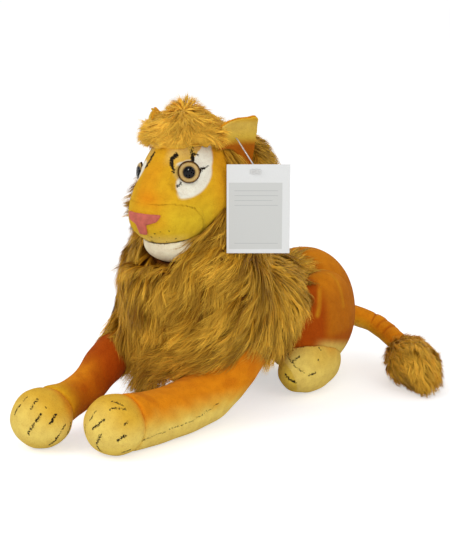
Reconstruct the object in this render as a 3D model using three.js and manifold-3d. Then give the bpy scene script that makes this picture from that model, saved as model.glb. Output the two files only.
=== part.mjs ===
// A plush lion lying on its belly: sewn skins over stuffing, safety eyes, mane panels and a hang tag.
// Millimetres, +Z up. The lion faces -Y and its left side is +X. The origin is on the flat under the rump.
import * as THREE from "three";
import { mergeVertices } from "three/addons/utils/BufferGeometryUtils.js";
import Module from "manifold-3d";

const wasm = await Module();
wasm.setup();

// Cloth and clearances.
const plush = 2.2; // thickness of the short-pile skin
const felt = 1.6; // thickness of the nose patch
const gap = 0.3; // between pieces that touch
const restCut = 0.5; // how deep the floor flattens what it carries
const blend = 14; // how softly the swellings of the trunk run together

// Trunk: each swelling has a half width, half length and half height, and a place along the body.
const chestWide = 40;
const chestLong = 42;
const chestHigh = 46;
const chestAt = -127;
const chestUp = 60;
const bellyWide = 38;
const bellyLong = 60;
const bellyHigh = 38;
const bellyAt = -63;
const bellyUp = 62.5; // the belly arches clear of the floor
const rumpWide = 43;
const rumpLong = 44;
const rumpHigh = 53;
const neckWide = 31;
const neckLong = 29;
const neckHigh = 48;
const neckAt = -130;
const neckUp = 122;

// Head: the skull's centre stands above the floor, and the rest is placed from it.
const skullWide = 39;
const skullLong = 36;
const skullHigh = 42;
const skullAt = -133;
const skullUp = 173;
const faceWide = 27;
const faceLong = 27;
const faceHigh = 38;
const faceAt = skullAt - 25;
const faceUp = skullUp + 3;
const muzzleWide = 27;
const muzzleLong = 24;
const muzzleHigh = 20;
const muzzleAt = skullAt - 39;
const muzzleUp = skullUp - 17;
const chinWide = 20;
const chinLong = 18;
const chinHigh = 15;
const chinAt = skullAt - 34;
const chinUp = skullUp - 35.5;
const headBlend = 14;
const collarAt = neckAt; // the head is sewn on along a plane that slopes down to the front
const collarUp = neckUp + 11;
const collarSlope = 28;

// Nose patch: a bar across the top of the muzzle and a stem down its middle.
const noseAcross = 27;
const noseBar = 8;
const noseStem = 8;
const noseTop = muzzleUp + 7;
const noseLow = muzzleUp - 9;
const noseTaper = 2; // the bar's lower corners and the stem's foot are drawn in by this

// Safety eyes: a dome in front of the skin, a shank through it and a washer behind it.
const eyeAcross = 16;
const eyeDome = 4.6;
const eyeRim = 1.4;
const eyeSink = 1;
const eyeSpread = 22; // from the middle of the face
const eyeTurn = 41; // how far each eye looks to its own side
const leftEyeUp = skullUp + 17;
const rightEyeUp = skullUp + 12.5;
const shankAcross = 4;
const shankLong = 11;
const washerAcross = 13;
const washerThick = 1.5;
const washerDepth = 7; // from the seat to the front of the washer

// Ears: a cupped back and lining of one outline, sewn to the side of the skull along its base.
const earLong = 27;
const earHigh = 43;
const earFront = 34; // height of the front edge, before the rim climbs to the tip
const earThick = 1.8;
const earCup = 46; // radius of the hollow
const earAcross = 28.5;
const earAt = skullAt - 13.5;
const earUp = skullUp + 14;
const earTurn = 25; // how far the ears face forward
const earLean = 20;
const earHingeDepth = -2; // the fold line, behind the plane of the base's corners
const earFold = 20; // how far the ear folds by hand, each way
const earBow = 4; // how far the rear edge bows out
const earRound = 3; // of the tip
const earMargin = 4; // kept free of hair round the fold

// Forelegs: radii at the shoulder, elbow, forearm and wrist, and half sizes of the paw.
const shoulderRadius = 23;
const elbowRadius = 20.5;
const forearmRadius = 19;
const wristRadius = 19.5;
const stretchedElbow = 16; // the right foreleg reaches further forward and is drawn thinner
const stretchedForearm = 13.5;
const stretchedWrist = 15;
const pawWide = 22.5;
const pawLong = 21.5;
const pawHigh = 21.5;
const leftShoulder = [30, -123, 54];
const leftElbow = [24, -151, 25];
const leftForearm = [21, -199];
const leftPaw = [14, -242];
const rightShoulder = [-41, -135, 62];
const rightElbow = [-48, -175, 47];
const rightForearm = [-42, -217, 29];
const rightWrist = [-36, -265, 24];
const rightPaw = [-36, -264];

// Hind legs: a thigh on each side of the rump, and a foot that lies under its front.
const thighWide = 19;
const thighLong = 42;
const thighHigh = 40;
const thighAcross = 30;
const thighAt = -19;
const thighUp = 53;
const footWide = 19.5;
const footLong = 37;
const footHigh = 21;
const footAcross = 35;
const footAt = -39;
const footTurn = 5; // how far the toes turn out

// Tail: a stuffed tube from the rump, and the long-haired tuft at its end.
const tailRoot = [15, 43, 44];
const tailBend = [33, 59, 34];
const tailEnd = [64, 49, 24];
const tailRadius = 8.4;
const tailPlush = 1.5;
const tuftLong = 30;
const tuftWide = 20.5;
const tuftAt = [91, 23];
const tuftTurn = 45; // how far the tuft points round from straight back
const tailKnob = 9; // radius of the gathered end that is caught in the rump

// Mane: how far its long hair reaches, as swellings round the head, the neck and the shoulders.
const ruffWide = 49;
const ruffLong = 46;
const ruffHigh = 50;
const ruffAt = skullAt + 19;
const ruffUp = skullUp - 1;
const bibWide = 59;
const bibLong = 54;
const bibHigh = 66;
const bibAside = -5; // the lower hair lies a little to the lion's right
const bibAt = chestAt - 6;
const bibUp = chestUp + 30;
const capeWide = 50;
const capeLong = 50;
const capeHigh = 42;
const capeAt = chestAt + 46;
const capeUp = chestUp + 18;
const maneBlend = 16;
const bibSeam = chestAt - 20; // the front panel ends here and the side panels start
const capeSeam = chestAt + 36; // the side panels end here and the back panel starts
const hairlineAt = skullAt - 22; // where the face comes out of the hair, level with the brow
const hairlineSlope = 13;
const forelockWide = 30;
const forelockLong = 28;
const forelockHigh = 20;
const forelockAt = skullAt - 20;
const forelockUp = skullUp + 43;

// Hang tag: a card on a nylon pin that is shot through the left ear.
const tagWide = 45;
const tagHigh = 64;
const tagThick = 0.6;
const tagHole = 3;
const tagHoleDown = 5;
const tagHoleAside = 2;
const tagPlace = [earAcross + 25.7, earAt + 10.4, earUp + 2.5]; // the middle of the hole
const tagTurn = 39; // the way that the card faces, round from the front
const pinThick = 0.9;
const pinAlong = 14; // where the pin goes through the ear: along its base and up from it
const pinUp = 23;
const pinBend = 2; // the thread stands this far above the hole before it turns in
const cardMargin = 3; // kept free of hair round the card
const barLong = 9;
const barThick = 1.2;
const paddleLong = 7;
const paddleWide = 3;
const stubLong = 1.5; // the pin's straight end outside the lining

const radians = THREE.MathUtils.degToRad;
const vector = (point) => new THREE.Vector3(...point);

// Booleans on three.js geometry.
function solid(geometry) {
  const plain = geometry.index ? geometry.toNonIndexed() : geometry.clone();
  for (const name of Object.keys(plain.attributes)) {
    if (name !== "position") plain.deleteAttribute(name);
  }
  const merged = mergeVertices(plain, 1e-4);
  return new wasm.Manifold(
    new wasm.Mesh({
      numProp: 3,
      vertProperties: merged.attributes.position.array,
      triVerts: new Uint32Array(merged.index.array),
    }),
  );
}

function geometryOf(body) {
  const { vertProperties, triVerts, numProp } = body.getMesh();
  const places = new Float32Array((vertProperties.length / numProp) * 3);
  for (let i = 0; i < places.length / 3; i++) {
    for (let k = 0; k < 3; k++) places[3 * i + k] = vertProperties[numProp * i + k];
  }
  const geometry = new THREE.BufferGeometry();
  geometry.setAttribute("position", new THREE.BufferAttribute(places, 3));
  geometry.setIndex([...triVerts]);
  geometry.computeVertexNormals();
  return geometry;
}

function closed(points, faces) {
  const geometry = new THREE.BufferGeometry().setFromPoints(points);
  geometry.setIndex(faces);
  return solid(geometry);
}

const cut = (body, ...cutters) => cutters.reduce((left, cutter) => left.subtract(cutter), body);
const both = (...bodies) => bodies.reduce((a, b) => a.intersect(b));
const joined = (...bodies) => bodies.reduce((a, b) => a.add(b));

// A sphere of flat facets, counted round it and from pole to pole.
const ball = (place, radius, around = 10, along = 6) => {
  const sphere = new THREE.SphereGeometry(radius, around, along).rotateX(Math.PI / 2);
  return solid(sphere.translate(...place));
};

// Everything on the far side of a plane, as a large block.
function beyond(point, normal) {
  const size = 900;
  const block = new THREE.BoxGeometry(size, size, size);
  block.translate(0, 0, size / 2);
  const turn = new THREE.Quaternion().setFromUnitVectors(new THREE.Vector3(0, 0, 1), normal);
  block.applyQuaternion(turn);
  block.translate(point.x, point.y, point.z);
  return solid(block);
}

const floor = beyond(new THREE.Vector3(), new THREE.Vector3(0, 0, -1));

// Stuffed forms: swellings that run together, and a skin laid over them from one centre.
const swelling = (place, wide, long, high, turn = 0) => ({
  centre: vector(place),
  half: new THREE.Vector3(wide, long, high),
  turn: radians(turn),
});

const upright = new THREE.Vector3(0, 0, 1);

function depthIn(point, one) {
  const local = point.clone().sub(one.centre).applyAxisAngle(upright, -one.turn);
  const near = local.clone().divide(one.half);
  const steep = near.clone().divide(one.half).length();
  return steep < 1e-9 ? -one.half.x : (near.length() * (near.length() - 1)) / steep;
}

function outside(point, form) {
  let nearest = Infinity;
  for (const one of form.swellings) {
    const there = depthIn(point, one);
    const share = Math.max(form.blend - Math.abs(nearest - there), 0) / form.blend;
    nearest = Math.min(nearest, there);
    if (Number.isFinite(share)) nearest -= (share * share * form.blend) / 4;
  }
  return nearest;
}

// The place along a ray where the form's surface is met, seen from outside.
function surfaceAlong(form, start, direction, offset) {
  let far = 260;
  for (let step = 0; step < 80; step++) {
    const over = outside(start.clone().addScaledVector(direction, far), form) - offset;
    far -= over * 0.8;
    if (Math.abs(over) < 1e-3 || far < 1) break;
  }
  return start.clone().addScaledVector(direction, Math.max(far, 1));
}

// A closed skin with its poles at the two ends of the form's long axis.
function skinOf(form, offset = 0) {
  const { rows, columns, centre, along } = form;
  const turn = new THREE.Quaternion().setFromUnitVectors(upright, along);
  const points = [];
  const faces = [];
  const place = (polar, round) => {
    const way = new THREE.Vector3().setFromSphericalCoords(1, polar, round);
    way.set(way.z, way.x, way.y).applyQuaternion(turn);
    return surfaceAlong(form, centre, way, offset);
  };
  points.push(place(0, 0));
  for (let row = 1; row < rows; row++) {
    for (let column = 0; column < columns; column++) {
      points.push(place((Math.PI * row) / rows, (2 * Math.PI * column) / columns));
    }
  }
  points.push(place(Math.PI, 0));
  const last = points.length - 1;
  const at = (row, column) => 1 + (row - 1) * columns + (column % columns);
  for (let column = 0; column < columns; column++) {
    faces.push(0, at(1, column), at(1, column + 1));
    for (let row = 1; row < rows - 1; row++) {
      faces.push(at(row, column), at(row + 1, column), at(row + 1, column + 1));
      faces.push(at(row, column), at(row + 1, column + 1), at(row, column + 1));
    }
    faces.push(last, at(rows - 1, column + 1), at(rows - 1, column));
  }
  return closed(points, faces);
}

// A stuffed tube: rings round a curve, with a rounded end, each ring at its own radius.
function tubeOf(route, radii, offset, rows, columns) {
  const curve = new THREE.CatmullRomCurve3(route.map(vector), false, "centripetal");
  const sizes = new THREE.SplineCurve(radii.map((radius, i) => new THREE.Vector2(i, radius)));
  const frames = curve.computeFrenetFrames(rows, false);
  const points = [];
  const faces = [];
  for (let row = 0; row <= rows; row++) {
    const along = row / rows;
    const middle = curve.getPointAt(along);
    const radius = sizes.getPoint(curve.getUtoTmapping(along)).y - offset;
    for (let column = 0; column < columns; column++) {
      const round = (2 * Math.PI * column) / columns;
      const out = frames.normals[row].clone().multiplyScalar(Math.cos(round));
      out.addScaledVector(frames.binormals[row], Math.sin(round));
      points.push(middle.clone().addScaledVector(out, radius));
    }
  }
  points.push(curve.getPointAt(0), curve.getPointAt(1));
  const at = (row, column) => row * columns + (column % columns);
  for (let column = 0; column < columns; column++) {
    faces.push(points.length - 2, at(0, column + 1), at(0, column));
    for (let row = 0; row < rows; row++) {
      faces.push(at(row, column), at(row, column + 1), at(row + 1, column + 1));
      faces.push(at(row, column), at(row + 1, column + 1), at(row + 1, column));
    }
    faces.push(points.length - 1, at(rows, column), at(rows, column + 1));
  }
  return closed(points, faces);
}

const mirrored = (body) => {
  const geometry = geometryOf(body).scale(-1, 1, 1);
  const index = [...geometry.index.array];
  for (let i = 0; i < index.length; i += 3) [index[i], index[i + 1]] = [index[i + 1], index[i]];
  return solid(geometry.setIndex(index));
};

const biggest = (body) => body.decompose().sort((a, b) => b.volume() - a.volume())[0];

// The tree of named pieces.
const lion = new THREE.Group();
lion.name = "plush_lion";

const cloths = {
  plush: [0xd9771c, 0.95],
  pale: [0xe8b54a, 0.95],
  white: [0xf1ece2, 0.95],
  stuffing: [0xf4f4f0, 1],
  longHair: [0xb97f22, 0.95],
  felt: [0xc8685a, 0.9],
  eye: [0x9c7238, 0.15],
  nylon: [0xf0f0ee, 0.4],
  card: [0xe6e8ea, 0.6],
};

function place(name, body, cloth) {
  const [color, roughness] = cloths[cloth];
  const material = new THREE.MeshStandardMaterial({ color, roughness, metalness: 0 });
  const mesh = new THREE.Mesh(geometryOf(body), material);
  mesh.name = name;
  lion.add(mesh);
}

// A stuffed part sewn from panels. Each panel is a full form, given as a function of how far the skin is
// drawn in; an earlier panel wins where two meet, and the hollows of all of them run together.
function sewn(panels, ...cutters) {
  const inside = joined(...panels.map((panel) => panel.form(plush)));
  const skins = panels.map((panel, i) => {
    const others = panels.slice(0, i).map((other) => other.form(-gap));
    return biggest(cut(panel.form(0), inside, ...others, floor, ...cutters));
  });
  const core = joined(...panels.map((panel) => panel.form(plush + gap)));
  return { skins, stuffing: biggest(cut(core, floor, ...cutters)) };
}

function placeSewn(names, cloth, stuffingName, part) {
  names.forEach((name, i) => place(name, part.skins[i], cloth[i]));
  place(stuffingName, part.stuffing, "stuffing");
}

// Trunk and head.
const forward = new THREE.Vector3(0, -1, 0);
const sideways = new THREE.Vector3(1, 0, 0);
const collarPoint = new THREE.Vector3(0, collarAt, collarUp);
const collarNormal = upright.clone().applyAxisAngle(sideways, radians(collarSlope));
const neck = swelling([0, neckAt, neckUp], neckWide, neckLong, neckHigh);

// Its skin is laid from a point as high above the floor as it is in front of the rump, which puts one of
// the skin's corners on the lowest point of the rump.
const trunkForm = {
  swellings: [
    swelling([0, 0, rumpHigh - restCut], rumpWide, rumpLong, rumpHigh),
    swelling([0, bellyAt, bellyUp], bellyWide, bellyLong, bellyHigh),
    swelling([0, chestAt, chestUp], chestWide, chestLong, chestHigh),
    neck,
  ],
  blend,
  centre: new THREE.Vector3(0, bellyAt, -bellyAt - restCut),
  along: forward,
  rows: 12,
  columns: 16,
};

const faceForm = {
  swellings: [
    swelling([0, skullAt, skullUp], skullWide, skullLong, skullHigh),
    swelling([0, faceAt, faceUp], faceWide, faceLong, faceHigh),
    neck,
  ],
  blend: headBlend,
  centre: new THREE.Vector3(0, skullAt, (skullUp + muzzleUp) / 2),
  along: forward,
  rows: 10,
  columns: 16,
};

// One ellipsoid as a form, with its poles along the given direction.
const ellipsoid = (place, wide, long, high, rows, columns, turn = 0, along = forward) => ({
  swellings: [swelling(place, wide, long, high, turn)],
  blend: 1,
  centre: vector(place),
  along: along.clone().applyAxisAngle(upright, radians(turn)),
  rows,
  columns,
});

const muzzleForm = ellipsoid([0, muzzleAt, muzzleUp], muzzleWide, muzzleLong, muzzleHigh, 8, 12);
const chinForm = ellipsoid([0, chinAt, chinUp], chinWide, chinLong, chinHigh, 6, 12);
const drawn = (form) => ({ form: (inset) => skinOf(form, -inset) });

const aboveCollar = beyond(collarPoint, collarNormal);
const headEdge = collarPoint.clone().addScaledVector(collarNormal, gap);
const belowCollar = beyond(headEdge, collarNormal.clone().negate());
const trunk = sewn([drawn(trunkForm)], aboveCollar);
const trunkRoom = skinOf(trunkForm, gap);
const head = sewn([faceForm, muzzleForm, chinForm].map(drawn), belowCollar);
const headRoom = joined(...[faceForm, muzzleForm, chinForm].map((form) => skinOf(form, gap)));

// Safety eyes, each turned to its own side.
function turned(geometry, from, to, origin) {
  geometry.applyQuaternion(new THREE.Quaternion().setFromUnitVectors(from, to));
  return solid(geometry.translate(origin.x, origin.y, origin.z));
}

function eye(side, height) {
  const look = forward.clone().applyAxisAngle(upright, radians(side * eyeTurn));
  const start = new THREE.Vector3(side * eyeSpread, skullAt, height);
  const seat = surfaceAlong(faceForm, start, forward, 0).addScaledVector(look, -eyeSink);
  const radius = eyeAcross / 2;
  const shank = shankAcross / 2;
  const profile = [[0, -shankLong], [shank, -shankLong], [shank, 0], [radius, 0], [radius, eyeRim]];
  for (let step = 1; step < 4; step++) {
    const angle = (Math.PI / 2) * (step / 4);
    profile.push([radius * Math.cos(angle), eyeRim + (eyeDome - eyeRim) * Math.sin(angle)]);
  }
  profile.push([0, eyeDome]);
  const sides = 12;
  const turnedSolid = (points, count = sides) => {
    const outline = points.map(([x, y]) => new THREE.Vector2(x, y));
    return turned(new THREE.LatheGeometry(outline, count), new THREE.Vector3(0, 1, 0), look, seat);
  };
  const disc = (out, low, high) => turnedSolid([[0, low], [out, low], [out, high], [0, high]]);
  const washerBack = -washerDepth - washerThick;
  const washer = cut(disc(washerAcross / 2, washerBack, -washerDepth), disc(shank + gap, -shankLong, eyeRim));
  const room = joined(disc(radius + gap, -gap, eyeDome * 2), disc(shank + gap, -shankLong - gap, eyeRim));
  const washerRoom = disc(washerAcross / 2 + gap, washerBack - gap, -washerDepth + gap);
  return { body: turnedSolid(profile), washer, room, washerRoom };
}

const eyes = { left: eye(1, leftEyeUp), right: eye(-1, rightEyeUp) };
for (const { room, washerRoom } of Object.values(eyes)) {
  head.skins = head.skins.map((skin) => cut(skin, room));
  head.stuffing = cut(head.stuffing, room, washerRoom);
}

// The nose patch lies on the muzzle: a T cut from a skin one felt thick.
function nosePatch() {
  const bar = noseAcross / 2;
  const stem = noseStem / 2;
  const corner = noseTop - noseBar * 0.6;
  const right = [
    [bar, noseTop],
    [bar - noseTaper, corner],
    [stem, noseTop - noseBar],
    [stem - noseTaper / 2, noseLow],
  ];
  const left = right.map(([x, z]) => [-x, z]).reverse();
  const outline = new THREE.Shape([...right, ...left].map(([x, z]) => new THREE.Vector2(x, z)));
  const stamp = new THREE.ExtrudeGeometry(outline, { depth: muzzleLong + felt, bevelEnabled: false });
  stamp.rotateX(Math.PI / 2).translate(0, muzzleAt, 0);
  const layer = both(solid(stamp), skinOf(muzzleForm, gap + felt));
  return biggest(cut(layer, skinOf(muzzleForm, gap), skinOf(faceForm, gap)));
}

// Ears. The local frame has the base along x, the height along y and the hollow side along +z.
const hollow = (x, y) => earCup - Math.sqrt(earCup ** 2 - (x - earLong / 2) ** 2 - (y - earHigh / 2) ** 2);
const cupSink = hollow(0, 0); // sets the corners of the base on the fold line

function earOutline() {
  const rear = earLong - earBow / 4;
  const under = earHigh - earRound;
  const outline = new THREE.Shape();
  outline.moveTo(0, 0);
  outline.lineTo(earLong, 0);
  outline.quadraticCurveTo(earLong + earBow, earHigh * 0.6, rear, under);
  outline.quadraticCurveTo(rear - earRound / 2, earHigh + earRound / 3, rear - 2 * earRound, under);
  outline.quadraticCurveTo(earLong * 0.25, earHigh * 0.93, 0, earFront);
  return outline;
}

// The right ear is the left one mirrored, and what is worked out here is the left one's.
const earMatrix = new THREE.Matrix4();
{
  const base = new THREE.Vector3(Math.sin(radians(earTurn)), Math.cos(radians(earTurn)), 0);
  const rise = upright.clone().applyAxisAngle(base, radians(earLean));
  earMatrix.makeBasis(base, rise, base.clone().cross(rise)).setPosition(earAcross, earAt, earUp);
}
const inEar = (x, y, z) => new THREE.Vector3(x, y, z).applyMatrix4(earMatrix);

function earLayer(inner, outer) {
  const depth = earCup / 2;
  const stamp = new THREE.ExtrudeGeometry(earOutline(), { depth, bevelEnabled: false, curveSegments: 3 });
  const cup = (radius) => ball([earLong / 2, earHigh / 2, earCup - cupSink], radius, 24, 16);
  const layer = cut(both(solid(stamp.translate(0, 0, -depth / 2)), cup(outer)), cup(inner));
  return solid(geometryOf(biggest(layer)).applyMatrix4(earMatrix));
}

// A body cut clear of what stands still while it turns about a line by any of the angles.
function clearOf(body, room, point, axis, angles) {
  return angles.reduce((left, angle) => {
    const turned = geometryOf(room).translate(-point.x, -point.y, -point.z);
    turned.applyQuaternion(new THREE.Quaternion().setFromAxisAngle(axis, -radians(angle)));
    return left.subtract(solid(turned.translate(point.x, point.y, point.z)));
  }, body);
}

const earFolds = [-1, -0.5, 0, 0.5, 1].map((share) => share * earFold);

// Both layers of an ear end at the skull, clear of it however the ear is folded.
function seatedEar(side, layer) {
  const mirror = new THREE.Vector3(side === "left" ? 1 : -1, 1, 1);
  const point = inEar(0, 0, earHingeDepth).multiply(mirror);
  const axis = new THREE.Vector3().setFromMatrixColumn(earMatrix, 0).multiply(mirror);
  const placed = side === "left" ? layer : mirrored(layer);
  return biggest(clearOf(placed, headRoom, point, axis, earFolds));
}

// The fan that an ear sweeps as it folds, kept free of hair.
function earRoom() {
  const reach = earHigh + 2 * earMargin;
  const spread = radians(earFold * 1.2);
  const side = reach * Math.sin(spread) + earMargin;
  const top = reach * Math.cos(spread);
  const bulge = cupSink + 2 * earThick + earMargin;
  const fan = new THREE.Shape([
    new THREE.Vector2(-earMargin, -earMargin),
    new THREE.Vector2(-side, top),
    new THREE.Vector2(side, top),
    new THREE.Vector2(bulge + earMargin, bulge),
    new THREE.Vector2(bulge, 0),
    new THREE.Vector2(earMargin, -earMargin),
  ]);
  const geometry = new THREE.ExtrudeGeometry(fan, { depth: earLong + 2 * earMargin, bevelEnabled: false });
  geometry.rotateY(Math.PI / 2).translate(-earMargin, 0, 0);
  return solid(geometry.applyMatrix4(earMatrix));
}

// The nylon pin: a bar behind the ear, a stub through it, and the thread with its paddle outside.
const thread = pinThick / 2;
const pinHole = inEar(pinAlong, pinUp, 0);
const earNormal = new THREE.Vector3().setFromMatrixColumn(earMatrix, 2);
const liningFace = hollow(pinAlong, pinUp) - cupSink; // along the ear's normal, where the thread comes out
const backFace = liningFace - 2 * earThick - gap;
const along = (distance) => pinHole.clone().addScaledVector(earNormal, distance);

function rod(from, to, radius, sides = 8) {
  const line = new THREE.LineCurve3(from, to);
  const section = new THREE.Shape();
  for (let i = 0; i < sides; i++) {
    const angle = (2 * Math.PI * i) / sides;
    const point = [radius * Math.cos(angle), radius * Math.sin(angle)];
    if (i) section.lineTo(...point);
    else section.moveTo(...point);
  }
  return solid(new THREE.ExtrudeGeometry(section, { steps: 1, extrudePath: line }));
}

function tagFrame() {
  const facing = forward.clone().applyAxisAngle(upright, radians(tagTurn));
  const across = upright.clone().cross(facing).normalize();
  return new THREE.Matrix4().makeBasis(across, upright, facing).setPosition(...tagPlace);
}

const tagMatrix = tagFrame();
const onTag = (geometry) => solid(geometry.applyMatrix4(tagMatrix));

function tagCard() {
  const card = new THREE.BoxGeometry(tagWide, tagHigh, tagThick);
  card.translate(tagHoleAside, tagHoleDown - tagHigh / 2, 0);
  const hole = new THREE.CylinderGeometry(tagHole / 2, tagHole / 2, 4 * tagThick, 16).rotateX(Math.PI / 2);
  return cut(onTag(card), onTag(hole));
}

function pinThread() {
  const clear = tagThick / 2 + gap + thread;
  const fromTag = (up, out) => new THREE.Vector3(0, up, out).applyMatrix4(tagMatrix);
  const start = along(liningFace + stubLong + gap + thread);
  const route = [start, fromTag(pinBend, -clear), fromTag(0, -clear), fromTag(0, clear)];
  const lengths = route.slice(1).map((end, i) => rod(route[i], end, thread));
  const paddle = new THREE.BoxGeometry(paddleLong, paddleWide, pinThick).translate(0, 0, clear);
  return joined(...lengths, onTag(paddle));
}

function pinBar() {
  const middle = along(backFace - gap - barThick / 2);
  const reach = new THREE.Vector3().setFromMatrixColumn(earMatrix, 0).multiplyScalar(barLong / 2);
  const bar = rod(middle.clone().sub(reach), middle.clone().add(reach), barThick / 2);
  return joined(bar, rod(middle, along(liningFace + stubLong), thread));
}

// Legs.
const onFloor = ([x, y], radius) => [x, y, radius - restCut];

function legTube(route, radii) {
  const root = (inset) => ball(route[0], radii[0] - inset, 8, 5);
  return { form: (inset) => joined(tubeOf(route, radii, inset, 6, 10), root(inset)) };
}

function foreleg(route, radii, paw) {
  const pawForm = ellipsoid(onFloor(paw, pawHigh), pawWide, pawLong, pawHigh, 7, 12);
  return [drawn(pawForm), legTube(route, radii)];
}

const leftWrist = onFloor(leftPaw, wristRadius + plush);
const leftRoute = [leftShoulder, leftElbow, onFloor(leftForearm, forearmRadius), leftWrist];
const rightRoute = [rightShoulder, rightElbow, rightForearm, rightWrist];
const leftRadii = [shoulderRadius, elbowRadius, forearmRadius, wristRadius];
const rightRadii = [shoulderRadius, stretchedElbow, stretchedForearm, stretchedWrist];
const leftForeleg = foreleg(leftRoute, leftRadii, leftPaw);
const rightForeleg = foreleg(rightRoute, rightRadii, rightPaw);

function hindLeg(side) {
  const hip = [side * thighAcross, thighAt, thighUp];
  const thigh = ellipsoid(hip, thighWide, thighLong, thighHigh, 7, 14, 0, sideways);
  const middle = onFloor([side * footAcross, footAt], footHigh);
  const foot = ellipsoid(middle, footWide, footLong, footHigh, 7, 12, side * footTurn);
  return [thigh, foot].map(drawn);
}

// Tail: its gathered end is caught in the rump, and its tuft lies on the floor.
const tuftPlace = onFloor(tuftAt, tuftWide);
const tuftForm = ellipsoid(tuftPlace, tuftWide, tuftLong, tuftWide, 8, 12, tuftTurn);
const tailRoute = [tailRoot, tailBend, tailEnd, tuftPlace];
const tailTube = (inset) => tubeOf(tailRoute, tailRoute.map(() => tailRadius), inset, 9, 8);
const knobRoom = ball(tailRoot, tailKnob + gap, 24);
const tuftRoom = skinOf(tuftForm, gap);
const tailSkin = biggest(cut(joined(tailTube(0), ball(tailRoot, tailKnob)), tailTube(tailPlush), tuftRoom));
const tailStuffing = biggest(cut(tailTube(tailPlush + gap), tuftRoom));
trunk.skins = trunk.skins.map((skin) => cut(skin, knobRoom));
trunk.stuffing = cut(trunk.stuffing, knobRoom);

// Mane, cut to fit over the skin, the legs, the ears and the tag.
const maneForm = {
  swellings: [
    swelling([bibAside, bibAt, bibUp], bibWide, bibLong, bibHigh),
    swelling([0, ruffAt, ruffUp], ruffWide, ruffLong, ruffHigh),
    swelling([0, capeAt, capeUp], capeWide, capeLong, capeHigh),
  ],
  blend: maneBlend,
  centre: new THREE.Vector3(0, (bibSeam + capeSeam) / 2, (chestUp + ruffUp) / 2),
  along: forward,
  rows: 14,
  columns: 20,
};

const brow = [0, forelockAt, forelockUp];
const forelockForm = ellipsoid(brow, forelockWide, forelockLong, forelockHigh, 7, 12);

// The hair stands off the face in front of a slanting plane, above the chin.
function faceRoom() {
  const hairline = forward.clone().applyAxisAngle(sideways, radians(-hairlineSlope));
  const edge = new THREE.Vector3(0, hairlineAt, forelockUp - forelockHigh / 2);
  const underChin = new THREE.Vector3(0, 0, chinUp - chinHigh - plush);
  return both(beyond(edge, hairline), beyond(underChin, upright));
}

// Free of hair in front of the card, so that it lies on the mane.
function cardRoom() {
  const block = new THREE.BoxGeometry(tagWide + 2 * cardMargin, tagHigh + 2 * cardMargin, tagHigh);
  return onTag(block.translate(tagHoleAside, tagHoleDown - tagHigh / 2, tagHigh / 2 - tagThick - gap));
}

const leftEarRoom = earRoom();
const threadRoom = rod(along(liningFace), new THREE.Vector3(0, 0, tagHole).applyMatrix4(tagMatrix), tagHole);
const legRooms = [leftForeleg[1], rightForeleg[1], ...[1, -1].map((side) => hindLeg(side)[0])];
const hairRooms = [
  headRoom,
  trunkRoom,
  ...legRooms.map((leg) => leg.form(-gap)),
  leftEarRoom,
  mirrored(leftEarRoom),
  cardRoom(),
  threadRoom,
];
const forelock = biggest(cut(skinOf(forelockForm), ...hairRooms));
const forelockRoom = skinOf(forelockForm, gap);
const mane = cut(skinOf(maneForm), faceRoom(), forelockRoom, ...hairRooms);
const behind = (y, spare = 0) => beyond(new THREE.Vector3(0, y - spare, 0), forward.clone().negate());
const bib = biggest(cut(mane, behind(bibSeam, gap)));
const cape = biggest(both(mane, behind(capeSeam)));
const flanks = cut(both(mane, behind(bibSeam)), behind(capeSeam, gap));
const leftSide = biggest(both(flanks, beyond(new THREE.Vector3(gap / 2, 0, 0), sideways)));
const rightSide = biggest(cut(flanks, beyond(new THREE.Vector3(-gap / 2, 0, 0), sideways)));

placeSewn(["body_skin"], ["plush"], "body_stuffing", trunk);
placeSewn(["face_skin", "muzzle_skin", "chin_skin"], ["plush", "pale", "white"], "head_stuffing", head);
place("nose_patch", nosePatch(), "felt");
for (const [side, one] of Object.entries(eyes)) {
  place(`${side}_eye`, one.body, "eye");
  place(`${side}_eye_washer`, one.washer, "nylon");
}
for (const [side, legs] of [["left", leftForeleg], ["right", rightForeleg]]) {
  const names = [`${side}_forepaw_skin`, `${side}_foreleg_skin`];
  placeSewn(names, ["pale", "plush"], `${side}_foreleg_stuffing`, sewn(legs, trunkRoom));
}
for (const [side, legs] of [["left", hindLeg(1)], ["right", hindLeg(-1)]]) {
  const names = [`${side}_thigh_skin`, `${side}_foot_skin`];
  placeSewn(names, ["plush", "pale"], `${side}_hind_leg_stuffing`, sewn(legs, trunkRoom));
}
place("tail_skin", tailSkin, "plush");
place("tail_stuffing", tailStuffing, "stuffing");
place("tail_tuft", cut(skinOf(tuftForm), floor), "longHair");
place("forelock", forelock, "longHair");
place("mane_bib", bib, "longHair");
place("mane_left_side", leftSide, "longHair");
place("mane_right_side", rightSide, "longHair");
place("mane_cape", cape, "longHair");

const earBack = earLayer(earCup + earThick + gap, earCup + 2 * earThick + gap);
const earLining = earLayer(earCup, earCup + earThick);
const pinRoom = rod(along(backFace - earThick), along(liningFace + earThick), thread + gap);
for (const side of ["left", "right"]) {
  const layers = [earBack, earLining].map((layer) => cut(seatedEar(side, layer), pinRoom));
  place(`${side}_ear_back`, layers[0], "plush");
  place(`${side}_ear_lining`, layers[1], "pale");
}
place("tag_pin_bar", pinBar(), "nylon");
place("tag_pin_thread", pinThread(), "nylon");
place("hang_tag", tagCard(), "card");

export default lion;
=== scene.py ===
import math

import bmesh
import bpy
import numpy as np
from mathutils import Matrix, Vector, kdtree


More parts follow.
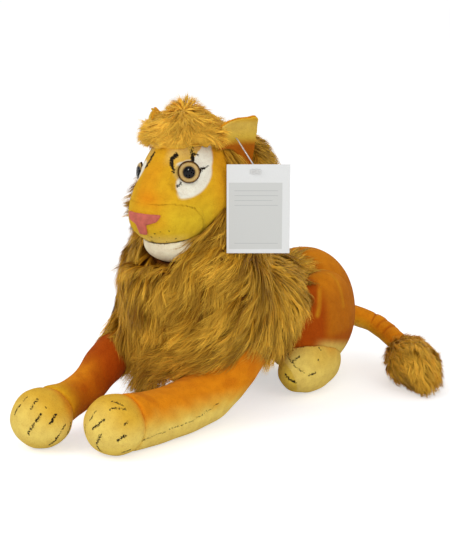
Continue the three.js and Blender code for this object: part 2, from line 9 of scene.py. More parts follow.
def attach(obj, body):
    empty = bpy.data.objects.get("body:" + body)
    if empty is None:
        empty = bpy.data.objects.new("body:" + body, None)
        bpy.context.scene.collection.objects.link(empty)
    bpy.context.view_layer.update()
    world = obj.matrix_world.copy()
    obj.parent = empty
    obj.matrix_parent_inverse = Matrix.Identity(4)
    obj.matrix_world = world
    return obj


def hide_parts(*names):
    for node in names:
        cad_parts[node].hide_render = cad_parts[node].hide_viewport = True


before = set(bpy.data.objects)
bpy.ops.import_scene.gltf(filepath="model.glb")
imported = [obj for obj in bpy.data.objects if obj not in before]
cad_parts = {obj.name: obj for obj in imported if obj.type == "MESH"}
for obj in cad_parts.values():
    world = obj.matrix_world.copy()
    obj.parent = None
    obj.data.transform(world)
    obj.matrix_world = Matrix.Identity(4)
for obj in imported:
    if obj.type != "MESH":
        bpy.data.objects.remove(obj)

bl_info = {
    "name": "Plush Lion Dressing",
    "version": (1, 0, 0),
    "blender": (4, 5, 0),
    "location": "View3D > Sidebar > Plush Lion",
    "description": "Sews skins, long hair, eyes and nose over the solids of a lying plush lion",
    "category": "Object",
}

# Lengths in this file are millimetres, as on the pattern, until a mesh is made.
MM = 0.001


def srgb(red, green, blue):
    """A colour in the usual 0 to 255, as the linear values that materials take."""
    shares = np.array([red, green, blue]) / 255
    return tuple(np.where(shares > 0.04, ((shares + 0.055) / 1.055) ** 2.4, shares / 12.92))


# ---------------------------------------------------------------- forms of the pattern


def swelling(place, half, turn=0.0):
    return np.array(place, float), np.array(half, float), math.radians(turn)


def depth_in(points, one):
    """Distance outside one swelling, good near its surface and negative inside."""
    centre, half, turn = one
    x, y, z = (points - centre).T
    c, s = math.cos(turn), math.sin(turn)
    near = np.stack([x * c + y * s, y * c - x * s, z], 1) / half
    size = np.linalg.norm(near, axis=1)
    steep = np.maximum(np.linalg.norm(near / half, axis=1), 1e-9)
    return size * (size - 1) / steep


def outside(points, form):
    """Distance outside swellings that run into one another over the blend's width."""
    swellings, blend = form
    nearest = depth_in(points, swellings[0])
    for one in swellings[1:]:
        there = depth_in(points, one)
        share = np.clip(blend - np.abs(nearest - there), 0, None) / blend
        nearest = np.minimum(nearest, there) - share * share * blend / 4
    return nearest


NECK = swelling((0, -130, 122), (31, 29, 48))
TRUNK = (
    [
        swelling((0, 0, 52.5), (43, 44, 53)),
        swelling((0, -63, 62.5), (38, 60, 38)),
        swelling((0, -127, 60), (40, 42, 46)),
        NECK,
    ],
    14,
)
FACE = ([swelling((0, -133, 173), (39, 36, 42)), swelling((0, -158, 176), (27, 27, 38)), NECK], 14)
MUZZLE = ([swelling((0, -172, 156), (27, 24, 20))], 1)
HEAD = ([*FACE[0], *MUZZLE[0], swelling((0, -172, 168), (21, 21, 22))], 12)
MUZZLE_CUT = ([swelling((0, -172, 156), (31, 29, 25.5))], 1)
MUZZLE_BED = ([swelling((0, -172, 156), (29, 27, 23.5))], 1)
CHIN = ([swelling((0, -167, 137.5), (20, 18, 15))], 1)
THIGH = {side: ([swelling((side * 30, -19, 53), (19, 42, 40))], 1) for side in (1, -1)}
FOOT = {side: ([swelling((side * 35, -39, 20.5), (19.5, 37, 21), side * 5)], 1) for side in (1, -1)}
PAW = {
    1: ([swelling((14, -242, 21), (22.5, 21.5, 21.5))], 1),
    -1: ([swelling((-36, -264, 21), (22.5, 21.5, 21.5))], 1),
}
FORELEG = {
    1: ([(30, -123, 54), (24, -151, 25), (21, -199, 18.5), (14, -242, 21.2)], [23, 20.5, 19, 19.5]),
    -1: ([(-41, -135, 62), (-48, -175, 47), (-42, -217, 29), (-36, -265, 24)], [23, 16, 13.5, 15]),
}
TAIL = ([(15, 43, 44), (33, 59, 34), (64, 49, 24), (91, 23, 20)], [8.4, 8.4, 8.4, 8.4])
TUFT = ([swelling((91, 23, 20), (20.5, 30, 20.5), 45)], 1)
MANE = (
    [
        swelling((-5, -133, 90), (59, 54, 66)),
        swelling((0, -114, 172), (49, 46, 50)),
        swelling((0, -81, 78), (50, 50, 42)),
    ],
    16,
)
FORELOCK = ([swelling((0, -153, 216), (30, 28, 20))], 1)
MANE_CUTS = ((1, -147), (1, -91), (0, 0))
GAP = 0.3
EYE = {1: (22, -133, 190), -1: (-22, -133, 185.5)}
EYE_TURN = 41


# ---------------------------------------------------------------- mesh making


def sphere(fineness):
    """Even directions all round and the triangles between them."""
    ball = bmesh.new()
    bmesh.ops.create_icosphere(ball, subdivisions=fineness, radius=1)
    points = np.array([v.co for v in ball.verts])
    faces = np.array([[v.index for v in f.verts] for f in ball.faces])
    ball.free()
    return points, faces


SPHERES = {}


HALVINGS = 24
FAR_OUT = 230  # farther than any skin is from its middle


def reach(field, origin, directions, far):
    """How far each line goes from the origin before the field turns positive."""
    near, far = np.zeros(len(directions)), np.broadcast_to(far, len(directions)).astype(float)
    for _ in range(HALVINGS):
        middle = (near + far) / 2
        beyond = field(origin + directions * middle[:, None]) > 0
        near, far = np.where(beyond, near, middle), np.where(beyond, middle, far)
    return near


def cast(form, origin, stretch, fineness=6, clear_of=()):
    """A skin over a form, seen from a point inside it, cut back where a neighbour has the room."""
    if fineness not in SPHERES:
        SPHERES[fineness] = sphere(fineness)
    directions, faces = SPHERES[fineness]
    origin = np.array(origin, float)
    directions = directions * stretch
    directions = directions / np.linalg.norm(directions, axis=1)[:, None]
    long = reach(lambda p: outside(p, form), origin, directions, FAR_OUT)
    for other in clear_of:
        points = origin + directions * long[:, None]
        inside = outside(points, other) < GAP
        long[inside] = reach(
            lambda p: GAP - outside(p, other), origin, directions[inside], long[inside]
        )
    return origin + directions * long[:, None], faces


def trimmed(points, origin, form):
    """Points drawn back towards a point inside a form until none is outside the form."""
    origin = np.array(origin, float)
    away = points - origin
    long = np.linalg.norm(away, axis=1)
    return origin + away / long[:, None] * reach(
        lambda p: outside(p, form) + GAP / 2, origin, away / long[:, None], long
    )[:, None]


def facing(points, faces):
    """The outward direction at each point of a closed mesh."""
    a, b, c = (points[faces[:, i]] for i in range(3))
    normals = np.cross(b - a, c - a)
    total = np.zeros_like(points)
    for corner in faces.T:
        for axis in range(3):
            total[:, axis] += np.bincount(corner, normals[:, axis], len(points))
    return total / np.maximum(np.linalg.norm(total, axis=1), 1e-12)[:, None]


def route_at(route, radii, count):
    """Points, directions and radii along a smooth line through a route's points."""
    route = np.array(route, float)
    route = np.vstack([2 * route[0] - route[1], route, 2 * route[-1] - route[-2]])
    spans = len(radii) - 1
    points, sizes = [], []
    for share in np.linspace(0, spans, count):
        i = min(int(share), spans - 1)
        u = share - i
        p = route[i : i + 4]
        step = [max(np.linalg.norm(p[k + 1] - p[k]) ** 0.5, 1e-6) for k in range(3)]
        t0, t1 = 0, step[0]
        t2 = t1 + step[1]
        t3 = t2 + step[2]
        t = t1 + (t2 - t1) * u
        a1 = (t1 - t) / (t1 - t0) * p[0] + (t - t0) / (t1 - t0) * p[1]
        a2 = (t2 - t) / (t2 - t1) * p[1] + (t - t1) / (t2 - t1) * p[2]
        a3 = (t3 - t) / (t3 - t2) * p[2] + (t - t2) / (t3 - t2) * p[3]
        b1 = (t2 - t) / (t2 - t0) * a1 + (t - t0) / (t2 - t0) * a2
        b2 = (t3 - t) / (t3 - t1) * a2 + (t - t1) / (t3 - t1) * a3
        points.append((t2 - t) / (t2 - t1) * b1 + (t - t1) / (t2 - t1) * b2)
        ease = u * u * (3 - 2 * u)
        sizes.append(radii[i] * (1 - ease) + radii[i + 1] * ease)
    points = np.array(points)
    forward = np.gradient(points, axis=0)
    return points, forward / np.linalg.norm(forward, axis=1)[:, None], np.array(sizes)


def limb(route, radii, start, end, around=72, rings=150):
    """A tube along a route that begins where it leaves one form and ends at another."""
    line, ahead, sizes = route_at(route, radii, 200)
    side = np.cross((0, 0, 1), ahead)
    side /= np.linalg.norm(side, axis=1)[:, None]
    rise = np.cross(ahead, side)
    shares = [1, 0.85, 0.65, 0.4, 0.15]
    angles = np.arange(around) * 2 * math.pi / around
    lines = []
    for share in shares:
        for angle in angles:
            out = (side * math.cos(angle) + rise * math.sin(angle)) * (sizes * share)[:, None]
            lines.append(line + out)
    lines = np.array(lines)
    count = len(line)
    flat = lines.reshape(-1, 3)
    at_start = outside(flat, start).reshape(-1, count) < GAP
    at_end = outside(flat, end).reshape(-1, count) < GAP
    begin = np.where(at_start.any(1), count - np.argmax(at_start[:, ::-1], axis=1), 0)
    late = at_end & (np.arange(count) > begin[:, None])
    stop = np.where(late.any(1), np.argmax(late, axis=1) - 1, count - 1)
    stop = np.maximum(stop, begin + 1)
    where = begin[:, None] + (stop - begin)[:, None] * np.linspace(0, 1, rings)
    where = np.clip(where, 0, count - 1.001)
    low = where.astype(int)
    part = (where - low)[:, :, None]
    rows = np.arange(len(lines))[:, None]
    placed = lines[rows, low] * (1 - part) + lines[rows, low + 1] * part
    wall = placed[:around].transpose(1, 0, 2).reshape(-1, 3)
    along = (where[:around] / count).T.reshape(-1)
    points, alongs, faces = [wall], [along], []

    def strip(first, second, turn):
        for j in range(around):
            k = (j + 1) % around
            quad = (first + j, first + k, second + k, second + j)
            quad = quad if turn else quad[::-1]
            faces.append((quad[0], quad[1], quad[2]))
            faces.append((quad[0], quad[2], quad[3]))

    for ring in range(rings - 1):
        strip(ring * around, (ring + 1) * around, False)
    total = len(wall)
    for edge, turn in ((0, True), (rings - 1, False)):
        last = edge * around
        for cap in range(1, len(shares)):
            ringed = placed[cap * around : (cap + 1) * around, edge]
            points.append(ringed)
            alongs.append(np.full(around, edge / rings))
            strip(last, total, turn)
            last, total = total, total + around
        points.append(points[-1].mean(0)[None])
        alongs.append(np.full(1, edge / rings))
        for j in range(around):
            k = (j + 1) % around
            faces.append((last + j, last + k, total) if turn else (last + k, last + j, total))
        total += 1
    points, faces = np.vstack(points), np.array(faces)
    centre = line[count // 2]
    if np.sum(facing(points, faces)[: len(wall)] * (wall - centre)) < 0:
        faces = faces[:, ::-1]
    return points, faces, np.concatenate(alongs)


def on_floor(points):
    """Nothing reaches below what the lion lies on."""
    points[:, 2] = np.maximum(points[:, 2], 0)
    return points


def make(name, points, faces, values=None, colours=None, flat=None):
    """A mesh object in metres, with its values and colours kept at its points."""
    mesh = bpy.data.meshes.new(name)
    mesh.vertices.add(len(points))
    mesh.vertices.foreach_set("co", (points * MM).astype(np.float32).ravel())
    mesh.loops.add(faces.size)
    mesh.loops.foreach_set("vertex_index", faces.astype(np.int32).ravel())
    mesh.polygons.add(len(faces))
    mesh.polygons.foreach_set("loop_start", np.arange(0, faces.size, 3, dtype=np.int32))
    mesh.update(calc_edges=True)
    mesh.shade_smooth()
    if flat is not None:
        spread = mesh.uv_layers.new(name="OFBake")
        spread.uv.foreach_set("vector", flat[faces.ravel()].astype(np.float32).ravel())
    for key, value in (values or {}).items():
        kept = mesh.attributes.new(key, "FLOAT", "POINT")
        kept.data.foreach_set("value", value.astype(np.float32))
    for key, value in (colours or {}).items():
        kept = mesh.attributes.new(key, "FLOAT_COLOR", "POINT")
        rgba = np.hstack([value, np.ones((len(value), 1))])
        kept.data.foreach_set("color", rgba.astype(np.float32).ravel())
    thing = bpy.data.objects.new(name, mesh)
    bpy.context.scene.collection.objects.link(thing)
    return thing


def softened(node, voxel, rounds):
    """The points and triangles of a solid, closer together and with its edges eased."""
    copy = bpy.data.objects.new("copy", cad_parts[node].data.copy())
    bpy.context.scene.collection.objects.link(copy)
    remesh = copy.modifiers.new("finer", "REMESH")
    remesh.mode = "VOXEL"
    remesh.voxel_size = voxel * MM
    ease = copy.modifiers.new("ease", "SMOOTH")
    ease.iterations = rounds
    copy.modifiers.new("triangles", "TRIANGULATE")
    seen = copy.evaluated_get(bpy.context.evaluated_depsgraph_get())
    mesh = bpy.data.meshes.new_from_object(seen)
    points = np.empty(len(mesh.vertices) * 3)
    mesh.vertices.foreach_get("co", points)
    corners = np.empty(len(mesh.loops), np.int32)
    mesh.loops.foreach_get("vertex_index", corners)
    bpy.data.objects.remove(copy)
    bpy.data.meshes.remove(mesh)
    return points.reshape(-1, 3) / MM, corners.reshape(-1, 3)


def corners_of(node):
    """A solid's own points and its faces as triangles."""
    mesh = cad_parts[node].data
    points = np.empty(len(mesh.vertices) * 3)
    mesh.vertices.foreach_get("co", points)
    mesh.calc_loop_triangles()
    faces = np.empty(len(mesh.loop_triangles) * 3, np.int32)
    mesh.loop_triangles.foreach_get("vertices", faces)
    return points.reshape(-1, 3) / MM, faces.reshape(-1, 3)


# ---------------------------------------------------------------- marks and colours


def between(value, low, high):
    """From 0 at low to 1 at high, eased."""
    share = np.clip((value - low) / (high - low), 0, 1)
    return share * share * (3 - 2 * share)


def fading(distance, width):
    """1 at no distance, fading out over about the width."""
    return np.exp(-((distance / width) ** 2))


def spot(points, place, size):
    """1 at a place, fading out all round it."""
    return np.exp(-((points - np.array(place)) ** 2).sum(1) / size**2)


def away(points, place, stretch=1):
    """Distance from a place, in steps that may be longer along one axis than another."""
    return np.linalg.norm((points - place) / stretch, axis=1)


def to_line(points, line):
    """Distance of each point to a line of several lengths, and how far along it is."""
    line = np.array(line, float)
    best, along = np.full(len(points), 1e9), np.zeros(len(points))
    for i in range(len(line) - 1):
        a, d = line[i], line[i + 1] - line[i]
        t = np.clip((points - a) @ d / max(d @ d, 1e-9), 0, 1)
        far = np.linalg.norm(points - a - t[:, None] * d, axis=1)
        nearer = far < best
        best = np.where(nearer, far, best)
        along = np.where(nearer, (i + t) / (len(line) - 1), along)
    return best, along


def laid_on(points, line, steps=8):
    """The line again, each point moved to the nearest point of a skin."""
    line = np.array(line, float)
    shares = np.linspace(0, len(line) - 1, steps * (len(line) - 1) + 1)
    low = np.minimum(shares.astype(int), len(line) - 2)
    fine = line[low] + (line[low + 1] - line[low]) * (shares - low)[:, None]
    return np.array([points[np.argmin(((points - p) ** 2).sum(1))] for p in fine])


NO_INK = 4.0  # millimetres from any stroke, beyond the reach of its ragged edge


def unmarked(points):
    return np.full(len(points), NO_INK)


def inked(points, strokes):
    """Distance outside the painted strokes, each a line with a width at either end."""
    nearest = unmarked(points)
    for line, first, last in strokes:
        if len(line) == 1:
            line = [line[0], np.array(line[0]) + (0, 0, 0.1)]
        far, along = to_line(points, laid_on(points, line))
        nearest = np.minimum(nearest, far - (first + (last - first) * along) / 2)
    return nearest


def waves(points, size, seed):
    """Soft uneven values from -1 to 1 that change over about the given size."""
    dice = np.random.default_rng(seed)
    total = np.zeros(len(points))
    for _ in range(6):
        way = dice.normal(size=3)
        way *= 2 * math.pi / size / np.linalg.norm(way) * dice.uniform(0.6, 1.5)
        total += np.sin(points @ way + dice.uniform(0, 2 * math.pi))
    return total / 3.2


def colours_laid_over(count, base, *layers):
    """A base colour with other colours laid over it, each by its share at every point."""
    cloth = np.tile(np.array(base), (count, 1))
    for colour, share in layers:
        cloth += (np.array(colour) - cloth) * np.clip(share, 0, 1)[:, None]
    return cloth


# ---------------------------------------------------------------- materials


class Cloth:
    """A material under construction: nodes are added and joined in one call each."""

    def __init__(self, name):
        self.material = bpy.data.materials.new(name)
        self.material.use_nodes = True
        self.tree = self.material.node_tree
        self.tree.nodes.clear()
        self.shader = self.add("ShaderNodeBsdfPrincipled")
        self.out = self.add("ShaderNodeOutputMaterial")
        self.tree.links.new(self.shader.outputs["BSDF"], self.out.inputs["Surface"])

    def add(self, kind, links=(), **settings):
        node = self.tree.nodes.new(kind)
        for key, value in settings.items():
            setattr(node, key, value)
        for socket, value in dict(links).items():
            if hasattr(value, "links"):
                self.tree.links.new(value, node.inputs[socket])
            else:
                node.inputs[socket].default_value = value
        return node

    def paint(self, colour):
        self.tree.links.new(colour, self.shader.inputs["Base Color"])

    def value(self, name):
        return self.add("ShaderNodeAttribute", attribute_name=name).outputs["Fac"]

    def colour(self, name):
        return self.add("ShaderNodeAttribute", attribute_name=name).outputs["Color"]

    def place(self):
        return self.add("ShaderNodeTexCoord").outputs["Object"]

    def noise(self, size, detail=2.0, where=None):
        links = {"Scale": 1 / (size * MM), "Detail": detail}
        if where is not None:
            links["Vector"] = where
        return self.add("ShaderNodeTexNoise", links).outputs["Fac"]

    def sum(self, operation, first, second):
        return self.add("ShaderNodeMath", {0: first, 1: second}, operation=operation).outputs[0]

    def ranged(self, value, low, high, out_low=0.0, out_high=1.0):
        links = {
            "Value": value, "From Min": low, "From Max": high, "To Min": out_low, "To Max": out_high
        }
        return self.add("ShaderNodeMapRange", links).outputs["Result"]

    def blend(self, share, first, second, how="MIX"):
        node = self.add("ShaderNodeMix", data_type="RGBA", blend_type=how)
        for socket, value in zip((0, 6, 7), (share, first, second)):
            if hasattr(value, "links"):
                self.tree.links.new(value, node.inputs[socket])
            elif socket == 0:
                node.inputs[socket].default_value = value
            else:
                node.inputs[socket].default_value = (*value, 1)
        return node.outputs[2]

    def tinted(self, colour, tint):
        return self.blend(1.0, colour, tint, "MULTIPLY")

    def bumps(self, *layers):
        """Layers of height, each with its depth in millimetres."""
        normal = None
        for height, depth in layers:
            links = {"Height": height, "Distance": depth * MM, "Strength": 1.0}
            if normal is not None:
                links["Normal"] = normal
            normal = self.add("ShaderNodeBump", links).outputs["Normal"]
        self.tree.links.new(normal, self.shader.inputs["Normal"])

    def finish(self, **sockets):
        for key, value in sockets.items():
            self.shader.inputs[key.replace("_", " ")].default_value = value
        return self.material


def plush_cloth(name, mark):
    """Short pile: colour and painted shade, with brushed streaks and mottling, and painted strokes.
    """
    cloth = Cloth(name)
    place = cloth.place()
    mottle = cloth.ranged(cloth.noise(6, 4, place), 0.36, 0.66)
    pile = cloth.noise(0.8, 3, place)
    dye_and_shade_colour = cloth.colour("dye_and_shade")
    deep = cloth.tinted(dye_and_shade_colour, (0.93, 0.88, 0.82))
    light = cloth.tinted(dye_and_shade_colour, (1.08, 1.08, 1.02))
    base = cloth.blend(mottle, deep, light)
    base = cloth.blend(cloth.ranged(pile, 0.3, 0.7, 0, 0.45), base, light)
    roots = cloth.tinted(base, (0.74, 0.62, 0.5))
    base = cloth.blend(cloth.ranged(pile, 0.24, 0.44, 0.55, 0), base, roots)
    edge = cloth.sum(
        "ADD", cloth.value("ink"), cloth.ranged(cloth.noise(1.1, 4, place), 0, 1, -2.2, 2.4)
    )
    bare = cloth.ranged(edge, -0.35, 0.5)
    base = cloth.blend(bare, mark, base)
    cloth.paint(base)
    cloth.bumps((cloth.noise(2.6, 3, place), 0.5), (pile, 0.35))
    return cloth.finish(
        Roughness=0.9, Specular_IOR_Level=0.03, Sheen_Weight=0.05, Sheen_Roughness=0.45,
        Sheen_Tint=(1.0, 0.8, 0.4, 1),
    )


def hair_cloth(name, hair):
    """Long hair: root darkened by colour and painted shade, golden tip, painted light and shade by
    strand.
    """
    cloth = Cloth(name)
    along, lit_share = cloth.value("along"), cloth.value("lit_share")
    ramp = cloth.add("ShaderNodeValToRGB", {"Fac": along})
    stops = ramp.color_ramp.elements
    stops[0].position, stops[0].color = 0.06, (*hair.root, 1)
    stops[1].position, stops[1].color = 0.36, (*hair.middle, 1)
    stops.new(0.85).color = (*hair.tip, 1)
    # Each strand mixes this painted-shade copy and the painted-light copy below by its lit share.
    shade = cloth.tinted(ramp.outputs["Color"], (0.42, 0.34, 0.26))
    light = cloth.tinted(ramp.outputs["Color"], (1.28, 1.26, 1.08))
    shade_to_light = cloth.blend(cloth.ranged(lit_share, 0.1, 0.9), shade, light)
    cloth.paint(shade_to_light)
    return cloth.finish(
        Roughness=0.5, Specular_IOR_Level=0.2, Specular_Tint=(1.0, 0.72, 0.25, 1), Sheen_Weight=0.0,
    )


EYE_HALF = 8.0


def eye_paint(name):
    """Painted on the back of the clear dome: black pupil, amber iris with fine rays, dark rim."""
    cloth = Cloth(name)
    out, turn = cloth.value("from_axis"), cloth.value("turn")
    where = cloth.add("ShaderNodeCombineXYZ", {"X": turn, "Y": cloth.sum("MULTIPLY", out, 0.02)})
    rays = cloth.add(
        "ShaderNodeTexNoise", {"Vector": where.outputs[0], "Scale": 9.0, "Detail": 3.0}
    )
    ramp = cloth.add("ShaderNodeValToRGB", {"Fac": cloth.sum("DIVIDE", out, EYE_HALF)})
    colours = [
        (0.0, (5, 4, 5)), (0.49, (5, 4, 5)), (0.52, (112, 82, 42)), (0.60, (194, 162, 94)),
        (0.76, (210, 180, 114)), (0.83, (158, 118, 62)), (0.89, (70, 44, 22)), (0.97, (52, 32, 16)),
    ]
    stops = ramp.color_ramp.elements
    for position, colour in colours[2:]:
        stops.new(position)
    for stop, (position, colour) in zip(stops, colours):
        stop.position, stop.color = position, (*srgb(*colour), 1)
    ring = cloth.sum("GREATER_THAN", out, 0.51 * EYE_HALF)
    streaks = cloth.sum("MULTIPLY", ring, cloth.ranged(rays.outputs["Fac"], 0.35, 0.7, 0, 0.4))
    base = cloth.blend(streaks, ramp.outputs["Color"], srgb(120, 82, 42))
    cloth.paint(base)
    return cloth.finish(Roughness=0.5, Specular_IOR_Level=0.0)


def clear_plastic(name):
    """Clear moulded plastic with the faintest waviness."""
    cloth = Cloth(name)
    tint = cloth.ranged(cloth.noise(3, 1, cloth.place()), 0, 1, 0.97, 1.0)
    cloth.paint(tint)
    return cloth.finish(Roughness=0.02, IOR=1.27, Transmission_Weight=1.0)


def felt_cloth(name, colour):
    """Pressed felt with loose fibres."""
    cloth = Cloth(name)
    place = cloth.place()
    fibres = cloth.noise(0.5, 4, place)
    patches = cloth.ranged(cloth.noise(5, 3, place), 0.35, 0.65)
    dark = tuple(v * 0.72 for v in colour)
    base = cloth.blend(patches, dark, colour)
    base = cloth.blend(
        cloth.ranged(fibres, 0.4, 0.7, 0, 0.5), base, tuple(min(v * 1.25, 1) for v in colour)
    )
    cloth.paint(base)
    cloth.bumps((fibres, 0.25))
    return cloth.finish(
        Roughness=0.75, Specular_IOR_Level=0.12, Sheen_Weight=0.1, Sheen_Tint=(1.0, 0.7, 0.6, 1),
    )


def nylon(name, colour, clear):
    """Moulded nylon with faint flow marks."""
    cloth = Cloth(name)
    place = cloth.place()
    flow = cloth.noise(1.5, 2, place)
    base = cloth.blend(cloth.ranged(flow, 0.3, 0.7), tuple(v * 0.88 for v in colour), colour)
    cloth.paint(base)
    cloth.bumps((flow, 0.03))
    return cloth.finish(Roughness=0.3, Transmission_Weight=clear, IOR=1.45)


def card_paper(name, paper, panel, line):
    """Bare coated card: a grey panel with empty lines, and paper grain."""
    cloth = Cloth(name)
    place = cloth.place()
    moved = cloth.add(
        "ShaderNodeVectorMath", {0: place, 1: [v * MM for v in TAG_PLACE]}, operation="SUBTRACT"
    )
    across = tag_axes()[0]

    def along(axis):
        node = cloth.add(
            "ShaderNodeVectorMath", {0: moved.outputs[0], 1: axis}, operation="DOT_PRODUCT"
        )
        return cloth.sum("DIVIDE", node.outputs["Value"], MM)

    x, z = along(across), along((0, 0, 1))

    def strip(value, low, high):
        above = cloth.ranged(value, low - 0.1, low + 0.1)
        below = cloth.ranged(value, high - 0.1, high + 0.1, 1, 0)
        return cloth.sum("MULTIPLY", above, below)

    grain = cloth.noise(0.6, 4, place)
    base = cloth.blend(cloth.ranged(grain, 0.3, 0.7), tuple(v * 0.96 for v in paper), paper)
    base = cloth.blend(cloth.sum("MULTIPLY", strip(z, -56, -8), strip(x, -19, 19)), base, panel)
    for low, right in ((-14, 16), (-17.5, 16), (-21, 12), (-24.5, 16), (-52, 16)):
        rule = cloth.sum("MULTIPLY", strip(z, low, low + 0.45), strip(x, -15, right))
        base = cloth.blend(cloth.sum("MULTIPLY", rule, 0.7), base, line)
    cloth.paint(base)
    cloth.bumps((grain, 0.02))
    return cloth.finish(Roughness=0.45, Coat_Weight=0.15, Coat_Roughness=0.25)


# ---------------------------------------------------------------- hair


def rooted(points, faces, wanted, count, dice):
    """Places and outward directions spread evenly over the faces that carry hair."""
    a, b, c = (points[faces[:, i]] for i in range(3))
    normal = np.cross(b - a, c - a)
    area = np.linalg.norm(normal, axis=1)
    weight = area * wanted((a + b + c) / 3)
    picked = dice.choice(len(faces), count, p=weight / weight.sum())
    u, v = dice.random(count), dice.random(count)
    flip = u + v > 1
    u, v = np.where(flip, 1 - u, u), np.where(flip, 1 - v, v)
    at = a[picked] + (b - a)[picked] * u[:, None] + (c - a)[picked] * v[:, None]
    return at, normal[picked] / area[picked][:, None]


def nearest_to(points, centres):
    tree = kdtree.KDTree(len(centres))
    for i, centre in enumerate(centres):
        tree.insert(centre, i)
    tree.balance()
    return np.array([tree.find(p)[1] for p in points])


def unit(vectors):
    return vectors / np.maximum(np.linalg.norm(vectors, axis=1), 1e-9)[:, None]


def clear(points, distance, room):
    """Points that lie a little too near something, moved out of it to the given distance."""
    deep = distance(points)
    near = (deep < room) & (deep > -9)
    if near.any():
        some, deep = points[near], deep[near]
        slope = np.stack([distance(some + step) - deep for step in np.eye(3) * 0.1], 1)
        points[near] = some + unit(slope) * (room - deep)[:, None]
    return points


TAG_PLACE = (54.2, -136.1, 189.5)
TAG_TURN = 39


def tag_axes():
    turn = math.radians(TAG_TURN)
    cos, sin = math.cos(turn), math.sin(turn)
    return np.array([cos, sin, 0]), np.array([sin, -cos, 0])


# The room that hair leaves round the card, from its hole: aside, up, down, behind and before it.
CARD_ASIDE, CARD_UP, CARD_DOWN, CARD_BEHIND, CARD_BEFORE = 26, 6, -66, 1.4, 30


def behind_the_card(points):
    """Keeps hair behind the hanging card."""
    across, ahead = tag_axes()
    from_hole = points - np.array(TAG_PLACE)
    high = from_hole[:, 2]
    over = (np.abs(from_hole @ across) < CARD_ASIDE) & (high < CARD_UP) & (high > CARD_DOWN)
    deep = from_hole @ ahead + CARD_BEHIND
    points -= ahead * np.where(over & (deep > 0) & (deep < CARD_BEFORE), deep, 0)[:, None]
    return points


PER_TRESS, PER_LOCK = 170, 9  # strands
LEVELS = 6  # of points along a strand


def strands(
    roots, normals, flow, long, lift, wide, dice, settle, bend=0.007, sag=0.1, wave=1.5, hang=0.7
):
    """Tapered ribbons gathered into long wavy locks that lie along the flow."""
    count = len(roots)
    tresses = dice.choice(count, max(count // PER_TRESS, 1), replace=False)
    big = nearest_to(roots, roots[tresses])
    heads = dice.choice(count, max(count // PER_LOCK, 1), replace=False)
    lot = nearest_to(roots, roots[heads])
    big_of = big[heads][lot]

    def shared(low, high, coarse=0.5):
        """A value for each strand, partly its big tress's and partly its lock's own."""
        tress, own = dice.random(count)[big_of], dice.random(len(heads))[lot]
        return low + (high - low) * (tress * coarse + own * (1 - coarse))

    into = np.sum(flow * normals, 1)
    ahead = unit(flow - normals * np.where(into > 0, into * (1 - hang), into)[:, None])
    bend = bend * (1 - np.clip(into, 0, 1))[heads][lot]
    across = unit(np.cross(normals, ahead))
    angle = shared(-0.55, 0.55, 0.6) + waves(roots, 38, 5) * 0.3
    angle = angle[heads][lot] + dice.normal(size=count) * 0.07
    ahead = ahead * np.cos(angle)[:, None] + across * np.sin(angle)[:, None]
    across = unit(np.cross(normals, ahead))
    reach_of = long[heads][lot] * shared(0.72, 1.3)
    rise_of = lift[heads][lot] * shared(0.35, 1.5)
    phase = shared(0, 2 * math.pi, 0.4)
    swing = wave * shared(0.5, 1.6, 0.2)
    own = dice.uniform(0.86, 1.1, count)
    head_root, head_ahead = roots[heads][lot], ahead[heads][lot]
    head_normal, head_across = normals[heads][lot], across[heads][lot]
    fray = dice.normal(size=(count, 3)) * 1.1
    path = []
    for level in range(LEVELS):
        t = level / (LEVELS - 1)
        far = reach_of * own * t
        up = rise_of * 1.6 * (t - 0.6 * t * t) - bend * far * far
        led = head_root + head_ahead * far[:, None] + head_normal * up[:, None]
        led = led + head_across * (swing * t * np.sin(phase + 6.0 * t))[:, None]
        keep = 1 - 0.5 * between(np.full(count, t), 0, 0.5)
        point = led + (roots - head_root) * keep[:, None] + fray * t * t
        point[:, 2] -= sag * far * t
        path.append(settle(point))
    path = np.array(path)
    tangent = np.gradient(path, axis=0)
    lean = dice.uniform(-0.7, 0.7, count)
    points, alongs = [], []
    for level in range(LEVELS):
        t = level / (LEVELS - 1)
        way = unit(tangent[level])
        flat = unit(np.cross(way, normals))
        stand = np.cross(flat, way)
        edge = flat * np.cos(lean)[:, None] + stand * np.sin(lean)[:, None]
        half = edge * (wide * (1 - t) ** 0.6 / 2 * dice.uniform(0.75, 1.25, count))[:, None]
        if level < LEVELS - 1:
            points += [path[level] - half, path[level] + half]
            alongs += [t, t]
        else:
            points.append(path[level])
            alongs.append(t)
    points = np.stack(points, 1).reshape(-1, 3)
    per = 2 * LEVELS - 1
    one = []
    for level in range(LEVELS - 2):
        a = 2 * level
        one += [(a, a + 1, a + 3), (a, a + 3, a + 2)]
    one.append((2 * LEVELS - 4, 2 * LEVELS - 3, 2 * LEVELS - 2))
    faces = (np.array(one)[None] + (np.arange(count) * per)[:, None, None]).reshape(-1, 3)
    # Each lock's share of painted light against painted shade, partly shared with its tress.
    lit_share = np.clip(shared(-0.2, 1.2, 0.4) * 0.8 + dice.random(count) * 0.2, 0, 1)
    return points, faces, np.tile(alongs, count), np.repeat(lit_share, per)


# Painted shade in small hollows between the locks, each a place and a size.
SHADED_HOLLOWS = [
    ((111.9, 7.9, 10), 4.5), ((37, -166, 97), 7), ((2, -180, 60), 7), ((51, -138, 103), 6),
    ((48, -115, 125), 7), ((-5, -184, 106), 7), ((44, -160, 70), 6), ((20, -182, 85), 6),
]


def painted_light_and_shade(points, pale):
    """Lightening of hair by paleness and more by painted light away from the chest, and painted
    shade in hollows.
    """
    light = pale + 0.3 * between(away(points, (5, -180, 80)), 42, 95)
    dark = sum(spot(points, place, size) for place, size in SHADED_HOLLOWS)
    return np.clip(light, 0, 1), np.clip(dark, 0, 1)


